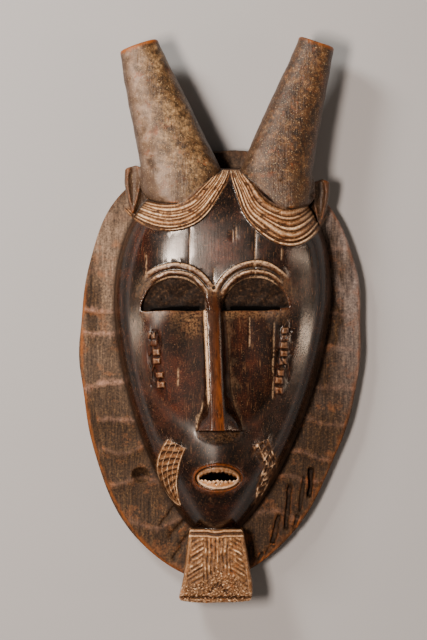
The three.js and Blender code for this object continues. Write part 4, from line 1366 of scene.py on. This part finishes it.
    uneven = node(SPAN, speck, 0.36, 0.54, 0.2, 1)
    edge = node(TIMES, node(TIMES, crest, node(MINUS, 1.0, node(TIMES, gloss, 0.8))), uneven)
    polish = node(MIX, node(SPAN, height, -0.05, 0.0, 0, 1), linear("6b3713"), linear("3f1f0c"))
    dusty = node(TIMES, dust, node(SPAN, speck, 0.4, 0.64, 0, 1))
    rubbed = node(TIMES, node(TIMES, crest, combed), uneven)
    pale = node(TIMES, node(TIMES, brow, crest), uneven)
    lines = node(TIMES, line, node(SPAN, speck, 0.36, 0.54, 0, 1))
    # The mouth's ledge: tan, near white on its crests, partly pale residue and partly painted highlight.
    ledge = node(MIX, crest, linear("b27c4c"), linear("ffe9cc"))
    pit = node(RAMP, crumbs, stops=((0.36, "0c0704"), (0.5, "22150c"), (0.6, "382719"), (0.7, "5c4530")))
    look = board
    for share, colour in (
        (back, raw),
        (gloss, patina),
        (horn, crust),
        (combed, lock),
        (node(TIMES, edge, 0.8), linear("8f4f1e")),
        # Painted highlight: pinkish lines along the board's arrises.
        (node(TIMES, arris, node(SPAN, grit, 0.38, 0.6, 0, 0.75)), linear("b98f7b")),
        (node(TIMES, rim, node(SPAN, stain, 0.36, 0.5, 0.2, 1)), linear("8e4e17")),
        (node(TIMES, nose, node(SPAN, fibre, 0.36, 0.56, 0.15, 0.95)), polish),
        (node(TIMES, dusty, 0.7), linear("94704c")),
        (node(TIMES, rubbed, node(SPAN, patchy, 0.4, 0.56, 0.5, 1)), linear("f7dcb8")),
        (node(TIMES, brow, 0.5), linear("46270f")),
        (pale, linear("efcda8")),
        # Pale cracks, nose foot and brow lines, with the painted highlight down the nose's left arris.
        (node(TIMES, lines, 0.85), linear("e4bf98")),
        (mouth, node(MIX, node(SPAN, speck, 0.52, 0.66, 0, 1), ledge, linear("b98c62"))),
        # Painted shade: grooves and creases darkened nearly to black.
        (node(TIMES, groove, 0.85), node(MIX, combed, linear("120a06"), linear("1f0d05"))),
        # Dark sockets, with painted shade behind the crown, along the head's foot and in the gouges.
        (soot, pit),
        # Painted shade inside the gap between the teeth and by the eye slits.
        (hole, linear("080504")),
    ):
        look = node(MIX, share, look, colour)

    shine = node(MIX_VALUE, dry, node(SPAN, stain, 0.35, 0.7, 0.19, 0.25), 0.5)
    roughness = node(MIX_VALUE, horn, 0.66, 0.46)
    for share, value in (
        (gloss, shine),
        (nose, 0.3),
        (node(TIMES, dust, 0.6), 0.6),
        (combed, 0.5),
        (soot, 0.75),
    ):
        roughness = node(MIX_VALUE, share, roughness, value)
    specular = node(MIX_VALUE, gloss, 0.22, node(MIX_VALUE, dry, 0.95, 0.08))
    for share, value in ((steep, 0.18), (horn, 0.4), (nose, 0.3)):
        specular = node(MIX_VALUE, share, specular, value)
    relief = node(PLUS, fibre, node(TIMES, speck, 0.8))
    relief = node(TIMES, relief, node(MIX_VALUE, gloss, 1.0, 0.08))
    bump = node(BUMP, relief, BUMP_STRENGTH, BUMP_HEIGHT)
    shader = node(SURFACE, look, roughness, bump, VARNISH_IOR, specular)
    node(MATERIAL_OUT, shader)
    return material


def plain_parts(piece, points):
    """A vertex group of the parts that may be thinned: 1 behind, less on board and horns, least on the
    face. The points in it that lie on the sharpest carving stay out of the group, so they are all kept."""
    x, y, z = points.T
    spots, normals, edges = read_mesh(piece.data)
    sharp = spread(np.abs(bulge_of(spots, normals, edges)), edges, 3)
    r = egg_share(HEAD, x, y)
    behind = (z < hollow_roof(x, y) + 1.5) & (r < 0.95) | (z < 2)
    face = (r < 1) & (z > BOARD_THICKNESS) & (y < HAIR_LINE) | (y < BEARD_TOP) & (np.abs(x) < 34)
    face = face | (gouge_depth(x, y) > 0.1) & (z > 5) & (y < 0)
    levels = np.where(behind, BEHIND, np.where(face, ON_FACE, ON_BOARD))
    carved = face & ~behind
    limit = np.sort(sharp[carved])[-KEEP_WHOLE]
    levels[carved & (sharp > limit)] = 0
    group = piece.vertex_groups.new(name="plain")
    for level in (ON_FACE, ON_BOARD, BEHIND):
        group.add(np.flatnonzero(levels == level).tolist(), level / BEHIND, "REPLACE")


def mask_piece():
    """The whole mask as one piece in place of its plain solid."""
    points, quads = grid_skin()
    low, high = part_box(MASK)
    middle = (Vector(low) + Vector(high)) / 2 / MM
    own = (points.min(0) + points.max(0)) / 2
    shift = np.array([middle.x - own[0], middle.y - own[1], low.z / MM - points[:, 2].min()])
    mesh = mesh_from("mask", (points + shift) * MM, quads)
    store(mesh, "matt", 1 - inside(egg_share(HEAD, *(points.T[:2])) - 0.97, 0.03) * (points[:, 2] > 20))
    piece = link("baule_mask", mesh)
    plain_parts(piece, points)
    settle(piece, carved_hardwood())
    finishes(piece.data, shift)
    for polygon in piece.data.polygons:
        polygon.use_smooth = True
    return piece


FLOOR = 4.0


def studio_floor():
    """A plain pale floor under the mask."""
    corners = np.array([(-FLOOR, -FLOOR, 0), (FLOOR, -FLOOR, 0), (FLOOR, FLOOR, 0), (-FLOOR, FLOOR, 0)])
    mesh = mesh_from("floor", corners, np.array([[0, 1, 2, 3]]))
    floor = link("floor", mesh)
    material = bpy.data.materials.new("pale_studio_paper")
    material.use_nodes = True
    shader = material.node_tree.nodes["Principled BSDF"]
    shader.inputs["Base Color"].default_value = linear("a9acb1")
    shader.inputs["Roughness"].default_value = 0.9
    mesh.materials.append(material)


# The colours of the lamps, from nearly white to a low sun.
WARM = (1, 0.9, 0.79)
AMBER = (1, 0.81, 0.67)
COPPER = (1, 0.74, 0.54)


def area_light(name, at, aim, size, power, colour):
    """A soft box at a place in metres, turned towards a point."""
    data = bpy.data.lights.new(name, "AREA")
    data.shape = "RECTANGLE"
    data.size, data.size_y = size
    data.energy = power
    data.color = colour
    lamp = link(name, data)
    lamp.location = at
    lamp.rotation_euler = (Vector(aim) - Vector(at)).to_track_quat("-Z", "Y").to_euler()


def studio():
    """Soft boxes: a key from the upper left, a small one overhead for the shine on the forehead, a low
    strip at each side that runs down the polished edges of the head, and a weak one from the right."""
    # Each light's name, place and aim in metres, size in metres, power in watts and colour.
    for light in (
        ("key", (-0.66, 0.7, 0.72), (-0.02, 0.03, 0.03), (0.28, 0.28), 14.5, WARM),
        ("overhead", (-0.57, -0.03, 1.66), (-0.03, 0.03, 0.04), (0.42, 0.28), 39, AMBER),
        ("left_strip", (-1.15, -0.15, 0.17), (0, -0.05, 0.04), (0.04, 1.1), 2.4, COPPER),
        ("right_strip", (1.2, -0.25, 0.12), (0, -0.05, 0.04), (0.04, 1.1), 3.6, COPPER),
        ("right_box", (1.0, 0.08, 0.62), (0, -0.03, 0.04), (0.07, 0.9), 1.5, COPPER),
    ):
        area_light(*light)
    world = bpy.data.worlds.new("studio")
    world.use_nodes = True
    colour, strength = world.node_tree.nodes["Background"].inputs[:2]
    colour.default_value = linear("d8d2cc")
    strength.default_value = 0.09
    bpy.context.scene.world = world


# The photograph is 427 by 640 and shows the mask at 0.746 mm a pixel, its middle at (220, 319.5).
PHOTO = (427, 640)
MM_PER_PIXEL = 0.746
MASK_PIXEL = (220, 319.5)
CAMERA_HEIGHT = 2.2
SENSOR = 36


def photo_camera():
    """A long lens straight above, at the photograph's scale."""
    data = bpy.data.cameras.new("camera")
    focus = 35 * MM
    half_height = PHOTO[1] / 2 * MM_PER_PIXEL * MM
    data.sensor_width = SENSOR
    data.lens = SENSOR / 2 * (CAMERA_HEIGHT - focus) / half_height
    camera = link("camera", data)
    x = (PHOTO[0] / 2 - MASK_PIXEL[0]) * MM_PER_PIXEL * MM
    y = (MASK_PIXEL[1] - PHOTO[1] / 2) * MM_PER_PIXEL * MM
    camera.location = (x, y, CAMERA_HEIGHT)
    bpy.context.scene.camera = camera


mask = mask_piece()
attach(mask, "root")
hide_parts(MASK)
studio_floor()
studio()
photo_camera()
